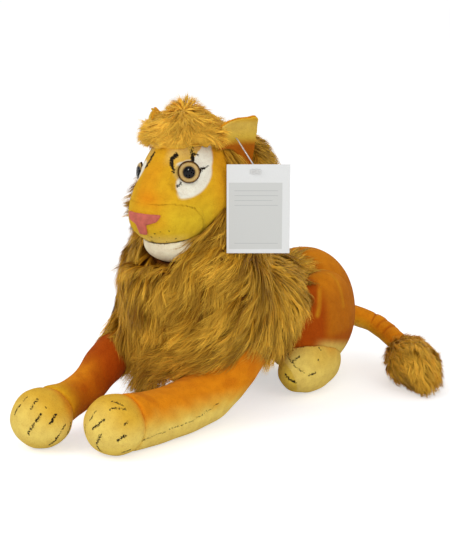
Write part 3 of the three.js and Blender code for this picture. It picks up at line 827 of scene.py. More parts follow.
UNDER_VOXEL, UNDER_ROUNDS = 2.2, 2
UNDER_DEEP = 0.6  # of the undercoat where no hair is rooted
INSET = 3.0  # of the undercoat under long hair
ROOTED = 0.8  # of that depth, where the strands are rooted
WIDEST, GIVE = -68, 9.5  # hair past this x is held in, and gets at most this much farther


def fur(
    name, node, flow, wanted, count, long, lift, hair, seed,
    pale=0.0, even=0.0, dips=(), keep_off=(), added=None, **more,
):
    """One hair piece: an undercoat just inside its solid, dark as painted shade deep in the hair,
    and the strands rooted in it.
    """
    dice = np.random.default_rng(seed)

    def dip(points):
        """How much deeper the hair lies than the solid, in millimetres."""
        deeper = np.zeros(len(points))
        for place, size, deep in dips:
            deeper += deep * spot(points, place, size)
        return deeper

    points, faces = softened(node, UNDER_VOXEL, UNDER_ROUNDS)
    normals = facing(points, faces)
    deep = UNDER_DEEP + (INSET - UNDER_DEEP) * wanted(points)
    deep = deep + 0.8 * waves(points, 7, seed) + dip(points)
    under = points - normals * deep[:, None]
    under[:, 2] = np.maximum(under[:, 2], 0.1)
    at, out = rooted(*corners_of(node), wanted, count, dice)
    at = at - out * (INSET * ROOTED + dip(at))[:, None]
    if added is not None:
        more_at, more_out = added(dice)
        at, out = np.vstack([at, more_at]), np.vstack([out, more_out])
    way, longer, higher = flow(at)

    def settle(path):
        for distance in keep_off:
            path = clear(path, distance, 0.8)
        path = behind_the_card(path)
        past = np.maximum(WIDEST - path[:, 0], 0)
        path[:, 0] += past - GIVE * np.tanh(past / GIVE)
        path[:, 2] = np.maximum(path[:, 2], 0.4)
        return path

    hairs, hair_faces, along, lit_share = strands(
        at, out, way, long * longer, lift * higher, hair.width, dice, settle, **more
    )
    hairs[:, 2] = np.maximum(hairs[:, 2], 0.1)
    per = len(along) // len(at)
    pale_under, hollow_shade_under = painted_light_and_shade(under, pale)
    pale_at, hollow_shade_at = (np.repeat(share, per) for share in painted_light_and_shade(at, pale))
    # The undercoat gets the dark root colour as painted shade; painted light and the painted shade
    # of the hollows go on undercoat and strands.
    under_along = pale_under * (1 - 0.5 * hollow_shade_under)
    alongs = np.concatenate([under_along, 1 - (1 - pale_at) * (1 - along) - 0.4 * hollow_shade_at])
    lit_shares = np.concatenate([np.clip(0.4 + 0.3 * waves(points, 9, seed + 1), 0, 1), lit_share])
    lit_shares = (even + (1 - even) * lit_shares) * (1 - 0.85 * np.concatenate([hollow_shade_under, hollow_shade_at]))
    return make(
        name, np.vstack([under, hairs]), np.vstack([faces, hair_faces + len(under)]),
        {"along": alongs, "lit_share": lit_shares},
        flat=0.02 + 0.96 * np.stack([lit_shares, alongs], 1),
    )


# ---------------------------------------------------------------- settings

NEEDED = {"size": 3, "subtype": "COLOR", "min": 0.0, "max": 1.0}


def colour_setting(name, description, red, green, blue):
    return bpy.props.FloatVectorProperty(
        name=name, description=description, default=srgb(red, green, blue), **NEEDED
    )


def number_setting(name, description, default, low, **more):
    return bpy.props.FloatProperty(
        name=name, description=description, default=default, min=low, **more
    )


class PlushDyes(bpy.types.PropertyGroup):
    golden: colour_setting("Golden", "Face and wrists", 216, 164, 34)
    orange: colour_setting("Orange", "Airbrushed shade on legs, back and bridge", 222, 136, 22)
    # Rust is airbrushed blotches on the forelegs, and painted shade in the creases of the body,
    # thighs and tail, at the foot of the ear lining and on the near foreleg under the mane.
    rust_and_shade: colour_setting("Rust", "Deepest airbrushed shade beside the mane", 164, 66, 10)
    haunch: colour_setting("Haunch", "Sides of the haunches", 188, 108, 20)
    pale: colour_setting("Pale", "Paws, feet and underside", 234, 206, 108)
    lemon: colour_setting("Lemon", "Muzzle and the lower cheeks", 216, 180, 42)
    cream: colour_setting("Cream", "Forehead", 224, 192, 112)
    white: colour_setting("White", "Chin and the patches round the eyes", 236, 233, 220)
    mark: colour_setting("Mark", "Painted strokes on brows, paws and feet", 34, 28, 22)
    nose: colour_setting("Nose", "Felt of the nose", 200, 104, 88)


class LongHair(bpy.types.PropertyGroup):
    # The root colour is partly the fur's own and partly painted shade deep in the hair; the
    # undercoat takes it too.
    root: colour_setting("Root", "Colour at the root", 104, 54, 14)
    middle: colour_setting("Middle", "Colour halfway", 194, 138, 32)
    tip: colour_setting("Tip", "Colour at the tip", 232, 186, 72)
    length: number_setting("Length", "Mane hair in millimetres", 25.0, 8.0, max=40.0)
    width: number_setting("Width", "Width of a strand in millimetres", 0.5, 0.2, max=1.5)
    lift: number_setting("Lift", "How far hair stands off in millimetres", 6.0, 1.0, max=15.0)


class Studio(bpy.types.PropertyGroup):
    room: number_setting("Room light", "Even light all round", 0.62, 0.0)
    key: number_setting("Key lamp", "Power of the large front lamp", 12.5, 0.0, unit="POWER")
    fill: number_setting("Fill lamp", "Power of the lamp opposite", 7.5, 0.0, unit="POWER")
    glint: number_setting(
        "Glint lamp", "Power of the small lamp that shows in the eyes", 2.4, 0.0, unit="POWER"
    )
    lens: number_setting("Lens", "Focal length", 85.38, 20.0, unit="CAMERA")


class PlushLion(bpy.types.PropertyGroup):
    dyes: bpy.props.PointerProperty(type=PlushDyes)
    hair: bpy.props.PointerProperty(type=LongHair)
    studio: bpy.props.PointerProperty(type=Studio)


def settings():
    return bpy.context.scene.plush_lion


CLOTHS = {}


def plush():
    if "plush" not in CLOTHS:
        CLOTHS["plush"] = plush_cloth("short_plush", settings().dyes.mark)
    return CLOTHS["plush"]


def sew(name, points, faces, cloth, ink=None, body="lion", covers=()):
    """Makes a plush piece, colours it, painted shade included, and fixes it to its body."""
    values = {"ink": unmarked(points) if ink is None else ink}
    piece = make(name, points, faces, values, {"dye_and_shade": cloth})
    piece.data.materials.append(plush())
    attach(piece, body)
    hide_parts(*covers)
    return piece


def pushed(points, faces, relief):
    """Points moved along their outward direction by a relief in millimetres."""
    return on_floor(points + facing(points, faces) * relief[:, None])


# ---------------------------------------------------------------- operators


class LION_OT_body(bpy.types.Operator):
    """Sew the body skin with its crease before the haunch"""

    bl_idname = "lion.body"
    bl_label = "Body"

    def execute(self, context):
        dyes = settings().dyes
        points, faces = cast(TRUNK, (0, -63, 62.5), (0.42, 1.1, 0.62))
        relief = np.zeros(len(points))
        crease = np.full(len(points), 99.0)
        for side in (1, -1):
            mirror = np.array([side, 1, 1])
            fold = [(22.8, -20.5, 96), (33, -44, 86), (39, -56, 70), (40, -60, 44)]
            far, _ = to_line(points, np.array(fold) * mirror)
            crease = np.minimum(crease, far)
        relief -= 2.6 * fading(crease, 4.0)
        relief += 0.6 * waves(points, 42, 3)
        points = pushed(points, faces, relief)
        _, y, z = points.T
        cloth = colours_laid_over(
            len(points), dyes.haunch,
            (dyes.orange, 0.8 * between(z, 76, 104)),
            (dyes.golden, 0.35 * between(z, 92, 112) * between(y, 10, -60)),
            # Rust along the crease before the haunch is painted shade in the fold.
            (dyes.rust_and_shade, fading(crease, 8)),
            (dyes.pale, between(z, 34, 12)),
        )
        sew("body", points, faces, cloth, covers=("body_skin", "body_stuffing"))
        return {"FINISHED"}


NEAR_BROWS = [
    (
        [(12.6, -173.4, 201.8), (10.7, -176.8, 198.8), (12.6, -178, 194), (14.4, -178.7, 189.6)],
        3.2, 1.6,
    ),
    ([(15.6, -160.6, 208.0), (18.9, -163.9, 203.2), (21.8, -166.2, 197.0)], 2.0, 2.8),
    ([(20.2, -163.3, 201.8), (21.9, -160.9, 201.0)], 1.8, 0.8),
    ([(25.4, -164.4, 190.3), (28.0, -156.5, 193.9)], 3.6, 0.3),
    ([(20.0, -175.5, 183.6), (16.4, -179.4, 179.1)], 2.0, 0.3),
]
FAR_BROWS = [
    ([(-5.6, -176.7, 202.2), (-6.6, -179.3, 197.5), (-8.4, -181.1, 191.8)], 2.4, 2.2),
    ([(-15.6, -164.6, 205.0), (-18.9, -167.0, 200.2), (-20.8, -169.0, 195.0)], 3.0, 1.8),
    ([(-16.6, -176.3, 190.4), (-16.2, -177.8, 192.2)], 1.6, 0.8),
    ([(-25.4, -166.4, 185.8), (-27.6, -159.5, 188.8)], 4.0, 0.8),
    ([(-20.0, -177.5, 179.1), (-16.8, -181.0, 175.2)], 2.4, 0.8),
]

# Outline of the white patch round an eye: angle from its outward side, up being 90, and radius.
PATCH = [
    (-180, 10.5), (-165, 10), (-150, 9.5), (-125, 15), (-110, 18.5), (-90, 17.5), (-74, 17),
    (-36, 16), (10, 16.2), (40, 21), (52, 24), (58, 23), (64, 12), (75, 8), (120, 8), (150, 10.5),
    (180, 10.5),
]


def round_the_eye(points, side):
    """Distance outside the patch round one eye, and the angle there."""
    seat, look = eye_seat(side)
    turn = math.radians(EYE_TURN)
    outward = np.array([side * math.cos(turn), math.sin(turn), 0])
    away = points - seat
    angle = np.degrees(np.arctan2(away[:, 2], away @ outward))
    edge = np.interp(angle, *zip(*PATCH))
    far = np.hypot(away @ outward, away[:, 2]) - edge
    return np.where((away @ look > -22) & (points[:, 0] * side > 0), far, 99), angle


def face_dyes(points):
    """The same airbrushed colours on the face and over its seam on the muzzle."""
    dyes = settings().dyes
    x, y, z = points.T
    ridge = np.abs(x)
    layers = [
        (dyes.cream, 0.8 * between(z, 192, 204) * between(np.abs(ridge - 14), 10, 4)),
        (dyes.lemon, 0.95 * between(z, 180, 156) * between(ridge, 8, 24)),
        (dyes.lemon, 0.7 * between(z, 162, 148)),
        (dyes.orange, 0.4 * between(z, 208, 188) * between(ridge, 12, 3) * between(z, 160, 176)),
        (dyes.orange, 0.8 * fading(away(points, (3.5, -192, 172), (1.2, 1, 0.7)), 8)),
        (dyes.orange, 0.6 * fading(away(points, (9.5, -191, 166)), 3)),
        (dyes.orange, 0.3 * fading(away(points, (13, -191, 155)), 5)),
        (dyes.orange, 0.35 * between(y, -160, -146)),
        (dyes.pale, 0.75 * between(z, 149, 140) * between(y, -168, -182)),
    ]
    for side in (1, -1):
        far, angle = round_the_eye(points, side)
        inner = between(np.abs(angle), 140, 160)
        inner = inner * (side > 0)
        far = far - 6.0 * between(np.abs(angle), 110, 140) * (side < 0)
        layers.append((dyes.white, between(far, 0.9, -0.9) * (1 - inner)))
        layers.append((dyes.cream, 0.8 * between(far, 2, -1) * inner))
    return colours_laid_over(len(points), dyes.golden, *layers)


def seam_dip(points):
    """Distance to the muzzle's sewn line, and how plain it is: brushed over on the bridge."""
    far = np.abs(outside(points, MUZZLE_CUT))
    return far, between(points[:, 2], 176, 164)


class LION_OT_face(bpy.types.Operator):
    """Sew the face, the muzzle and the chin, with painted brows and white patches"""

    bl_idname = "lion.face"
    bl_label = "Face"

    def execute(self, context):
        dyes = settings().dyes
        points, faces = cast(
            HEAD, (0, -130, 174), (1, 1, 1.05), 7, clear_of=[TRUNK, MUZZLE_BED, CHIN]
        )
        far, plain = seam_dip(points)
        relief = 0.3 * waves(points, 30, 8) - 0.35 * between(outside(points, MUZZLE_CUT), 0.6, 0)
        relief -= 0.55 * fading(far, 1.3) * plain
        points = pushed(points, faces, relief)
        for side in (1, -1):
            seat, look = eye_seat(side)
            high = (points - seat) @ look
            aside = np.linalg.norm(points - seat - high[:, None] * look, axis=1)
            room = -0.4 + np.clip(aside - 8.3, 0, None) * 0.8
            over = (aside < 16) & (high > room) & (high < 14)
            points -= look * np.where(over, high - room, 0)[:, None]
        ink = inked(points, NEAR_BROWS + FAR_BROWS)
        sew("face", points, faces, face_dyes(points), ink, covers=("face_skin", "head_stuffing"))

        origin = (0, -176, 156)
        points, faces = cast(HEAD, origin, (1, 1, 1), 6, clear_of=[CHIN])
        points = trimmed(points, origin, MUZZLE_CUT)
        far, plain = seam_dip(points)
        cleft = fading(points[:, 0], 1.6) * between(points[:, 2], 150, 142)
        relief = 0.2 * waves(points, 14, 4) - 1.1 * cleft - 0.45 * fading(far, 1.3) * plain
        points = pushed(points, faces, relief)
        dots = [
            (-10.8, -190.9, 146.6), (4.6, -191.5, 144.8), (8.9, -192.5, 148.0),
            (13.0, -191.6, 149.6), (10.1, -189.7, 144.8), (-6.0, -191.5, 145.2),
            (-14.0, -189.0, 149.5), (-17.5, -187.0, 147.5), (12.0, -184.1, 141.2),
            (18.4, -188.0, 150.1), (18.6, -181.4, 143.8), (-13.0, -186.0, 143.5),
        ]
        ink = inked(points, [([dot], 0.7, 0.7) for dot in dots])
        sew(
            "muzzle", points, faces, face_dyes(points), ink,
            covers=("muzzle_skin",),
        )

        points, faces = cast(CHIN, (0, -176, 132), (1, 1, 0.8), 5, clear_of=[FACE, MUZZLE])
        points = pushed(points, faces, 0.2 * waves(points, 12, 6))
        # White with some pale all over, which is its colour; the extra pale towards the top, under
        # the muzzle, is painted shade.
        cloth = colours_laid_over(
            len(points), dyes.white, (dyes.pale, 0.22 + 0.25 * between(points[:, 2], 137, 143))
        )
        sew("chin", points, faces, cloth, covers=("chin_skin",))
        return {"FINISHED"}


def eye_seat(side):
    """Where an eye sits on the face and where it looks."""
    turn = math.radians(EYE_TURN)
    look = np.array([side * math.sin(turn), -math.cos(turn), 0])
    start = np.array(EYE[side], float)
    ahead = np.array([[0.0, -1.0, 0.0]])
    far = reach(lambda p: outside(p, FACE), start, ahead, 60)[0]
    return start + ahead[0] * far - look, look


def turned(profile, seat, look, sides=72):
    """A closed body turned about an eye's line of sight, from radius and height pairs."""
    across = np.cross((0, 0, 1), look)
    points, faces, out, turns = [seat + look * profile[0][1]], [], [0], [0]
    for radius, high in profile[1:-1]:
        for i in range(sides):
            angle = 2 * math.pi * i / sides
            way = across * math.cos(angle) + np.array((0, 0, 1)) * math.sin(angle)
            points.append(seat + look * high + way * radius)
            out.append(radius)
            turns.append(abs(i / sides * 2 - 1) * 3)
    points.append(seat + look * profile[-1][1])
    out.append(0)
    turns.append(0)
    rings = len(profile) - 2
    for i in range(sides):
        k = (i + 1) % sides
        faces.append((0, 1 + k, 1 + i))
        for ring in range(rings - 1):
            a, b = 1 + ring * sides, 1 + (ring + 1) * sides
            faces += [(a + i, a + k, b + k), (a + i, b + k, b + i)]
        last = 1 + (rings - 1) * sides
        faces.append((last + i, last + k, len(points) - 1))
    return np.array(points), np.array(faces), np.array(out, float), np.array(turns, float)


EYE_STEM = [
    (0, -11), (1.9, -11), (2, -10.8), (2, -0.2), (2.3, 0),
    (7.6, 0), (8, 0.3), (8, 1.0), (7.75, 1.3), (0, 1.3),
]
PAINT_HIGH, PAINT_WIDE, DOME_FOOT, DOME_HIGH = 1.34, 7.6, 1.4, 3.2


class LION_OT_eyes(bpy.types.Operator):
    """Turn the two plastic eyes with shank, flange and a clear dome painted on its back"""

    bl_idname = "lion.eyes"
    bl_label = "Eyes"

    def execute(self, context):
        paint, clear_one = eye_paint("amber_eye"), clear_plastic("clear_dome")
        disc = [(0, PAINT_HIGH)]
        disc += [(radius, PAINT_HIGH) for radius in np.linspace(0.4, PAINT_WIDE, 19)]
        dome = [
            (PAINT_WIDE * math.cos(a), DOME_FOOT + DOME_HIGH * math.sin(a))
            for a in np.linspace(0, math.pi / 2, 20)
        ]
        for side, name in ((1, "left"), (-1, "right")):
            seat, look = eye_seat(side)
            back = turned(EYE_STEM, seat, look)
            front = turned(disc + dome[:-1] + [(0, DOME_FOOT + DOME_HIGH)], seat, look)
            count = len(back[0])
            piece = make(
                f"{name}_eye_dome",
                np.vstack([back[0], front[0]]),
                np.vstack([back[1], front[1] + count]),
                {
                    "from_axis": np.concatenate([back[2], front[2]]),
                    "turn": np.concatenate([back[3], front[3]]),
                },
            )
            for material in (paint, clear_one):
                piece.data.materials.append(material)
            high = (np.vstack([back[0], front[0]]) - seat) @ look
            for face in piece.data.polygons:
                corners = list(face.vertices)
                highest = max(high[corner] for corner in corners)
                if corners[0] >= count and highest > PAINT_HIGH + 0.02:
                    face.material_index = 1
            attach(piece, "lion")
            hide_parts(f"{name}_eye")
        return {"FINISHED"}


class LION_OT_nose(bpy.types.Operator):
    """Lay the felt nose on the muzzle"""

    bl_idname = "lion.nose"
    bl_label = "Nose"

    def execute(self, context):
        points, faces = softened("nose_patch", 0.35, 45)
        points = points + facing(points, faces) * 0.5
        sunk = outside(points, MUZZLE) - outside(points, HEAD) + 0.25
        points = points + unit(points - MUZZLE[0][0][0]) * sunk[:, None]
        points[:, 2] -= 2.2 * between(points[:, 2], 148, 163)
        piece = make("nose", points, faces)
        piece.data.materials.append(felt_cloth("nose_felt", settings().dyes.nose))
        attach(piece, "lion")
        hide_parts("nose_patch")
        return {"FINISHED"}


RIGHT_PAW_MARKS = [
    ([(-37.9, -275.3, 39.2), (-39.2, -278.5, 36.6)], 0.9, 0.7),
    ([(-39.3, -280.7, 34.2), (-42.5, -283.7, 27.0)], 1.6, 1.4),
    ([(-28.9, -273.6, 39.0), (-29.0, -280.2, 33.5)], 1.4, 1.4),
    ([(-21.1, -273.5, 34.0)], 1.2, 1.2),
    ([(-21.6, -277.2, 30.9), (-23.2, -280.9, 26.1)], 1.6, 1.6),
    ([(-24.3, -282.1, 23.9), (-28.9, -283.8, 16.2)], 1.3, 1.5),
    ([(-16.0, -268.9, 29.4), (-16.5, -274.3, 24.1)], 1.9, 1.6),
    ([(-13.5, -263.3, 21.1), (-14.4, -267.3, 15.9)], 0.9, 0.9),
    ([(-15.1, -268.2, 14.3), (-21.3, -271.3, 6.4)], 1.6, 1.5),
    ([(-14.0, -256.0, 20.0), (-13.8, -259.0, 12.0)], 1.6, 1.6),
]
LEFT_PAW_MARKS = [
    ([(18.4, -249.0, 40.9), (27.0, -246.0, 38.1)], 1.0, 1.0),
    ([(21.5, -254.5, 37.0), (24.5, -250.6, 37.9), (28.7, -246.9, 36.5)], 1.3, 1.3),
    ([(21.2, -259.6, 31.2), (14.5, -263.3, 24.1)], 1.6, 1.5),
    ([(11.7, -258.0, 35.2), (9.6, -261.8, 28.1)], 0.8, 0.8),
    ([(20.8, -262.5, 20.9), (15.6, -261.9, 13.0)], 1.3, 1.5),
    ([(14.8, -261.5, 10.5), (15.4, -260.0, 5.0)], 1.6, 1.2),
    ([(33.6, -252.6, 20.5), (30.5, -256.2, 17.5)], 1.9, 1.6),
    ([(33.3, -249.1, 29.3), (32.7, -251.5, 28.2)], 1.2, 1.2),
    ([(33.0, -246.0, 6.0), (30.0, -250.0, 4.0)], 1.6, 1.6),
    ([(4.0, -262.6, 24.0), (2.0, -263.0, 17.0)], 1.3, 1.3),
]
LEG_SEAM = [
    (29.7, -252, 11.1), (35.6, -236, 12.5), (39.5, -215, 14), (42, -190, 16), (46, -165, 22)
]


class LION_OT_forelegs(bpy.types.Operator):
    """Sew the two forelegs and their paws with the painted toe strokes"""

    bl_idname = "lion.forelegs"
    bl_label = "Forelegs"

    def execute(self, context):
        dyes = settings().dyes
        marks = {1: LEFT_PAW_MARKS, -1: RIGHT_PAW_MARKS}
        for side, name in ((1, "left"), (-1, "right")):
            route, radii = FORELEG[side]
            points, faces, _ = limb(route, radii, TRUNK, PAW[side])
            relief = 0.4 * waves(points, 22, 11 + side)
            relief += 1.3 * fading(np.maximum(outside(points, PAW[side]), 0), 8)
            points = pushed(points, faces, relief)
            x, y, z = points.T
            if side == 1:
                high = z + 1.5 * waves(points, 9, 2) + 6 * between(x, 24, 4)
                blotches = between(waves(points, 13, 77), 0.0, 0.9)
                cloth = colours_laid_over(
                    len(points), dyes.pale,
                    (dyes.golden, 0.55 * between(high, 14, 24)),
                    (dyes.orange, between(high, 17, 33)),
                    # Rust high on the near leg, under the mane, is painted shadow of the mane.
                    (dyes.rust_and_shade, 0.3 * between(z, 34, 52) * between(y, -200, -165)),
                    (dyes.rust_and_shade, 0.25 * blotches * between(high, 24, 34)),
                )
            else:
                blotches = between(waves(points, 13, 78), 0.0, 0.9)
                cloth = colours_laid_over(
                    len(points), dyes.golden,
                    (dyes.orange, between(y, -256, -226)),
                    (dyes.rust_and_shade, 0.95 * between(y, -224, -196)),
                    (dyes.rust_and_shade, 0.3 * blotches * between(y, -250, -230)),
                    (dyes.rust_and_shade, 0.6 * between(x, -42, -30) * between(y, -252, -232)),
                )
            covers = (f"{name}_foreleg_skin", f"{name}_foreleg_stuffing")
            ink = inked(points, [(LEG_SEAM, 0.5, 0.4)]) + 0.15 if side == 1 else None
            sew(f"{name}_foreleg", points, faces, cloth, ink, covers=covers)

            centre = np.array(PAW[side][0][0][0])
            points, faces = cast(PAW[side], centre, (1, 1, 1))
            relief = 0.35 * waves(points, 16, 21 + side)
            points = pushed(points, faces, relief)
            _, y, z = points.T
            wrist = y - centre[1]
            cloth = colours_laid_over(
                len(points), dyes.pale,
                (dyes.golden, 0.8 * between(wrist, -26, -6) * between(z, 14, 32)),
                (dyes.orange, 0.8 * between(wrist, 0, 12) * between(z, 14, 32)),
                (dyes.lemon, 0.3 * between(z, 14, 4)),
            )
            sew(
                f"{name}_forepaw", points, faces, cloth, inked(points, marks[side]) + 0.12,
                covers=(f"{name}_forepaw_skin",),
            )
        return {"FINISHED"}


THIGH_SEAM = [(32.8, -24, 91), (41, -36, 80), (44.6, -43, 64)]
SECOND_SEAM = [(37, -12, 90), (42, -11, 84), (46, -10, 74), (48, -11, 66)]
SOLE_SEAM = [
    (30.6, -70.0, 40.4), (32.7, -66.7, 33.6), (40.8, -70.8, 30.3), (45.9, -70.2, 26.4),
    (49.6, -66.4, 23.0),
]
FOOT_MARKS = [
    ([(33.5, -64.4, 44.7), (29.9, -67.5, 39.2)], 1.0, 1.2),
    ([(37.6, -55.8, 42.0), (40.6, -51.6, 41.1)], 1.2, 1.2),
    ([(46.3, -42.7, 37.7), (48.8, -42.8, 35.5)], 0.8, 0.8),
    ([(42.8, -63.7, 34.6), (40.3, -70.1, 31.2)], 1.0, 1.2),
    ([(51.9, -50.7, 30.3)], 1.6, 1.6),
    ([(51.0, -63.9, 20.6), (53.2, -57.1, 21.4)], 1.1, 1.3),
    ([(37.6, -75.3, 22.0), (41.7, -74.9, 18.2), (44.8, -72.7, 15.9)], 1.4, 1.8),
    (SOLE_SEAM, 0.5, 0.4),
]


class LION_OT_hind_legs(bpy.types.Operator):
    """Sew the thighs and the hind feet"""

    bl_idname = "lion.hind_legs"
    bl_label = "Hind legs"

    def execute(self, context):
        dyes = settings().dyes
        for side, name in ((1, "left"), (-1, "right")):
            mirror = np.array([side, 1, 1])
            points, faces = cast(THIGH[side], (side * 43, -19, 53), (0.5, 1, 1), clear_of=[TRUNK])
            seam, _ = to_line(points, np.array(THIGH_SEAM) * mirror)
            second, _ = to_line(points, np.array(SECOND_SEAM) * mirror)
            relief = 0.5 * waves(points, 26, 31 + side) - 0.6 * fading(seam, 1.2)
            points = pushed(points, faces, relief)
            _, y, z = points.T
            crease_shade = 0.9 * between(seam, 1.5, 3.5)
            cloth = colours_laid_over(
                len(points), dyes.haunch,
                (dyes.orange, 0.6 * between(z, 72, 92)),
                # Rust beside the seam, low at the front of the thigh, is painted shade in the
                # crease.
                (dyes.rust_and_shade, crease_shade * between(y, -28, -40) * between(z, 34, 46)),
                (dyes.rust_and_shade, 0.5 * between(z, 48, 40)),
                (dyes.golden, 0.4 * fading(seam, 1.2) + 0.25 * fading(second, 2.2)),
                (dyes.pale, between(z + 0.25 * (y + 30), 44, 34) * between(y, -48, -30)),
            )
            sew(
                f"{name}_thigh", points, faces, cloth,
                covers=(f"{name}_thigh_skin", f"{name}_hind_leg_stuffing"),
            )
            origin = (side * 39, -52, 16)
            points, faces = cast(FOOT[side], origin, (0.6, 1, 0.6), clear_of=[TRUNK, THIGH[side]])
            relief = 0.35 * waves(points, 18, 41 + side)
            sole, _ = to_line(points, laid_on(points, np.array(SOLE_SEAM) * mirror))
            to_sole = unit(np.array([[0.45, 0.75, 0.35]]))[0]
            sole_side = (np.array(SOLE_SEAM[0]) - points * mirror) @ to_sole - 3
            relief -= 0.7 * fading(sole, 0.9)
            points = pushed(points, faces, relief)
            _, y, z = points.T
            cloth = colours_laid_over(
                len(points), dyes.pale,
                (dyes.golden, 0.45 * between(z, 14, 34) * between(y, -70, -45)),
                (dyes.lemon, 0.6 * between(sole_side, 0, 1)),
                (dyes.orange, 0.5 * between(y, -42, -28) * between(z, 26, 38)),
            )
            strokes = [(np.array(line) * mirror, first, last) for line, first, last in FOOT_MARKS]
            sew(
                f"{name}_foot", points, faces, cloth, inked(points, strokes),
                covers=(f"{name}_foot_skin",),
            )
        return {"FINISHED"}


class LION_OT_tail(bpy.types.Operator):
    """Sew the tail with its creases"""

    bl_idname = "lion.tail"
    bl_label = "Tail"

    def execute(self, context):
        dyes = settings().dyes
        nowhere = ([swelling((15, 43, 44), (2, 2, 2))], 1)
        points, faces, along = limb(*TAIL, nowhere, TUFT, around=56, rings=130)
        folds = ((0.3, 0.9), (0.42, 0.7), (0.52, 0.9), (0.66, 0.5))
        creases = sum(deep * fading(along - place, 0.016) for place, deep in folds)
        height = np.interp(along, [0, 0.33, 0.66, 1], [44, 34, 24, 20])
        creases = creases * between(points[:, 2] - height, -3, 5)
        relief = 0.35 * waves(points, 16, 51) - 0.6 * creases
        points = pushed(points, faces, relief)
        under = between(points[:, 2] - height, 4, -5)
        cloth = colours_laid_over(
            len(points), dyes.orange,
            # Rust in the creases is painted shade in the folds.
            (dyes.rust_and_shade, 0.6 * creases),
            (dyes.golden, 0.8 * under),
            (dyes.pale, 0.4 * between(points[:, 2] - height, -3, -7)),
        )
        sew("tail_tube", points, faces, cloth, body="tail", covers=("tail_skin", "tail_stuffing"))
        return {"FINISHED"}


class LION_OT_ears(bpy.types.Operator):
    """Sew the ears: an orange back and a yellow lining"""

    bl_idname = "lion.ears"
    bl_label = "Ears"

    def execute(self, context):
        dyes = settings().dyes
        for name in ("left", "right"):
            for layer, slot in (("back", "plush"), ("lining", "pale_plush")):
                points, faces = softened(f"{name}_ear_{layer}", 0.55, 3)
                z = points[:, 2]
                if layer == "back":
                    cloth = colours_laid_over(
                        len(points), dyes.orange, (dyes.golden, 0.35 + 0.3 * between(z, 218, 196))
                    )
                else:
                    cloth = colours_laid_over(
                        len(points), dyes.lemon,
                        (dyes.cream, 0.5 * between(z, 200, 222)),
                        (dyes.golden, 0.9 * between(z, 222, 227)),
                        # Rust at the foot of the lining is painted shadow.
                        (dyes.rust_and_shade, 0.85 * between(z, 213, 205)),
                    )
                piece = make(
                    f"{name}_ear_{layer}_plush", points, faces,
                    {"ink": unmarked(points)}, {"dye_and_shade": cloth},
                )
                piece.data.materials.append(plush())
                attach(piece, f"{name}_ear")
                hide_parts(f"{name}_ear_{layer}")
        return {"FINISHED"}


def hair_piece(name, node, flow, wanted, count, body="lion", **more):
    hair = settings().hair
    if "hair" not in CLOTHS:
        CLOTHS["hair"] = hair_cloth("long_hair", hair)
    count = count
    more.setdefault("long", hair.length)
    more.setdefault("lift", hair.lift)
    piece = fur(name, node, flow, wanted, count, hair=hair, **more)
    piece.data.materials.append(CLOTHS["hair"])
    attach(piece, body)
    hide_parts(node)
    return piece


def off(form):
    return lambda points: outside(points, form)


def off_limb(side):
    """Distance outside a foreleg."""
    line, _, sizes = route_at(*FORELEG[side], 24)

    def distance(points):
        far, along = to_line(points, line)
        return far - np.interp(along, np.linspace(0, 1, 24), sizes)

    return distance


def off_all(*forms):
    """Distances outside each form and outside both forelegs."""
    return [off(form) for form in forms] + [off_limb(1), off_limb(-1)]


LINING, MEETING = -1.2, 0.7  # how deep in the mane its lining starts, how near a cut panels meet


def in_the_open(*others, room=1.6):
    """1 on the faces that nothing lies against, 0 on the lining and where panels meet."""
    against = off_all(FACE, TRUNK, MUZZLE, CHIN, *others)

    def wanted(points):
        free = np.minimum.reduce([distance(points) for distance in against])
        inner = outside(points, MANE) < LINING
        meeting = np.zeros(len(points), bool)
        for axis, value in MANE_CUTS:
            meeting |= np.abs(points[:, axis] - value) < MEETING
        return ((free > room) & ~(inner & meeting)).astype(float)

    return wanted


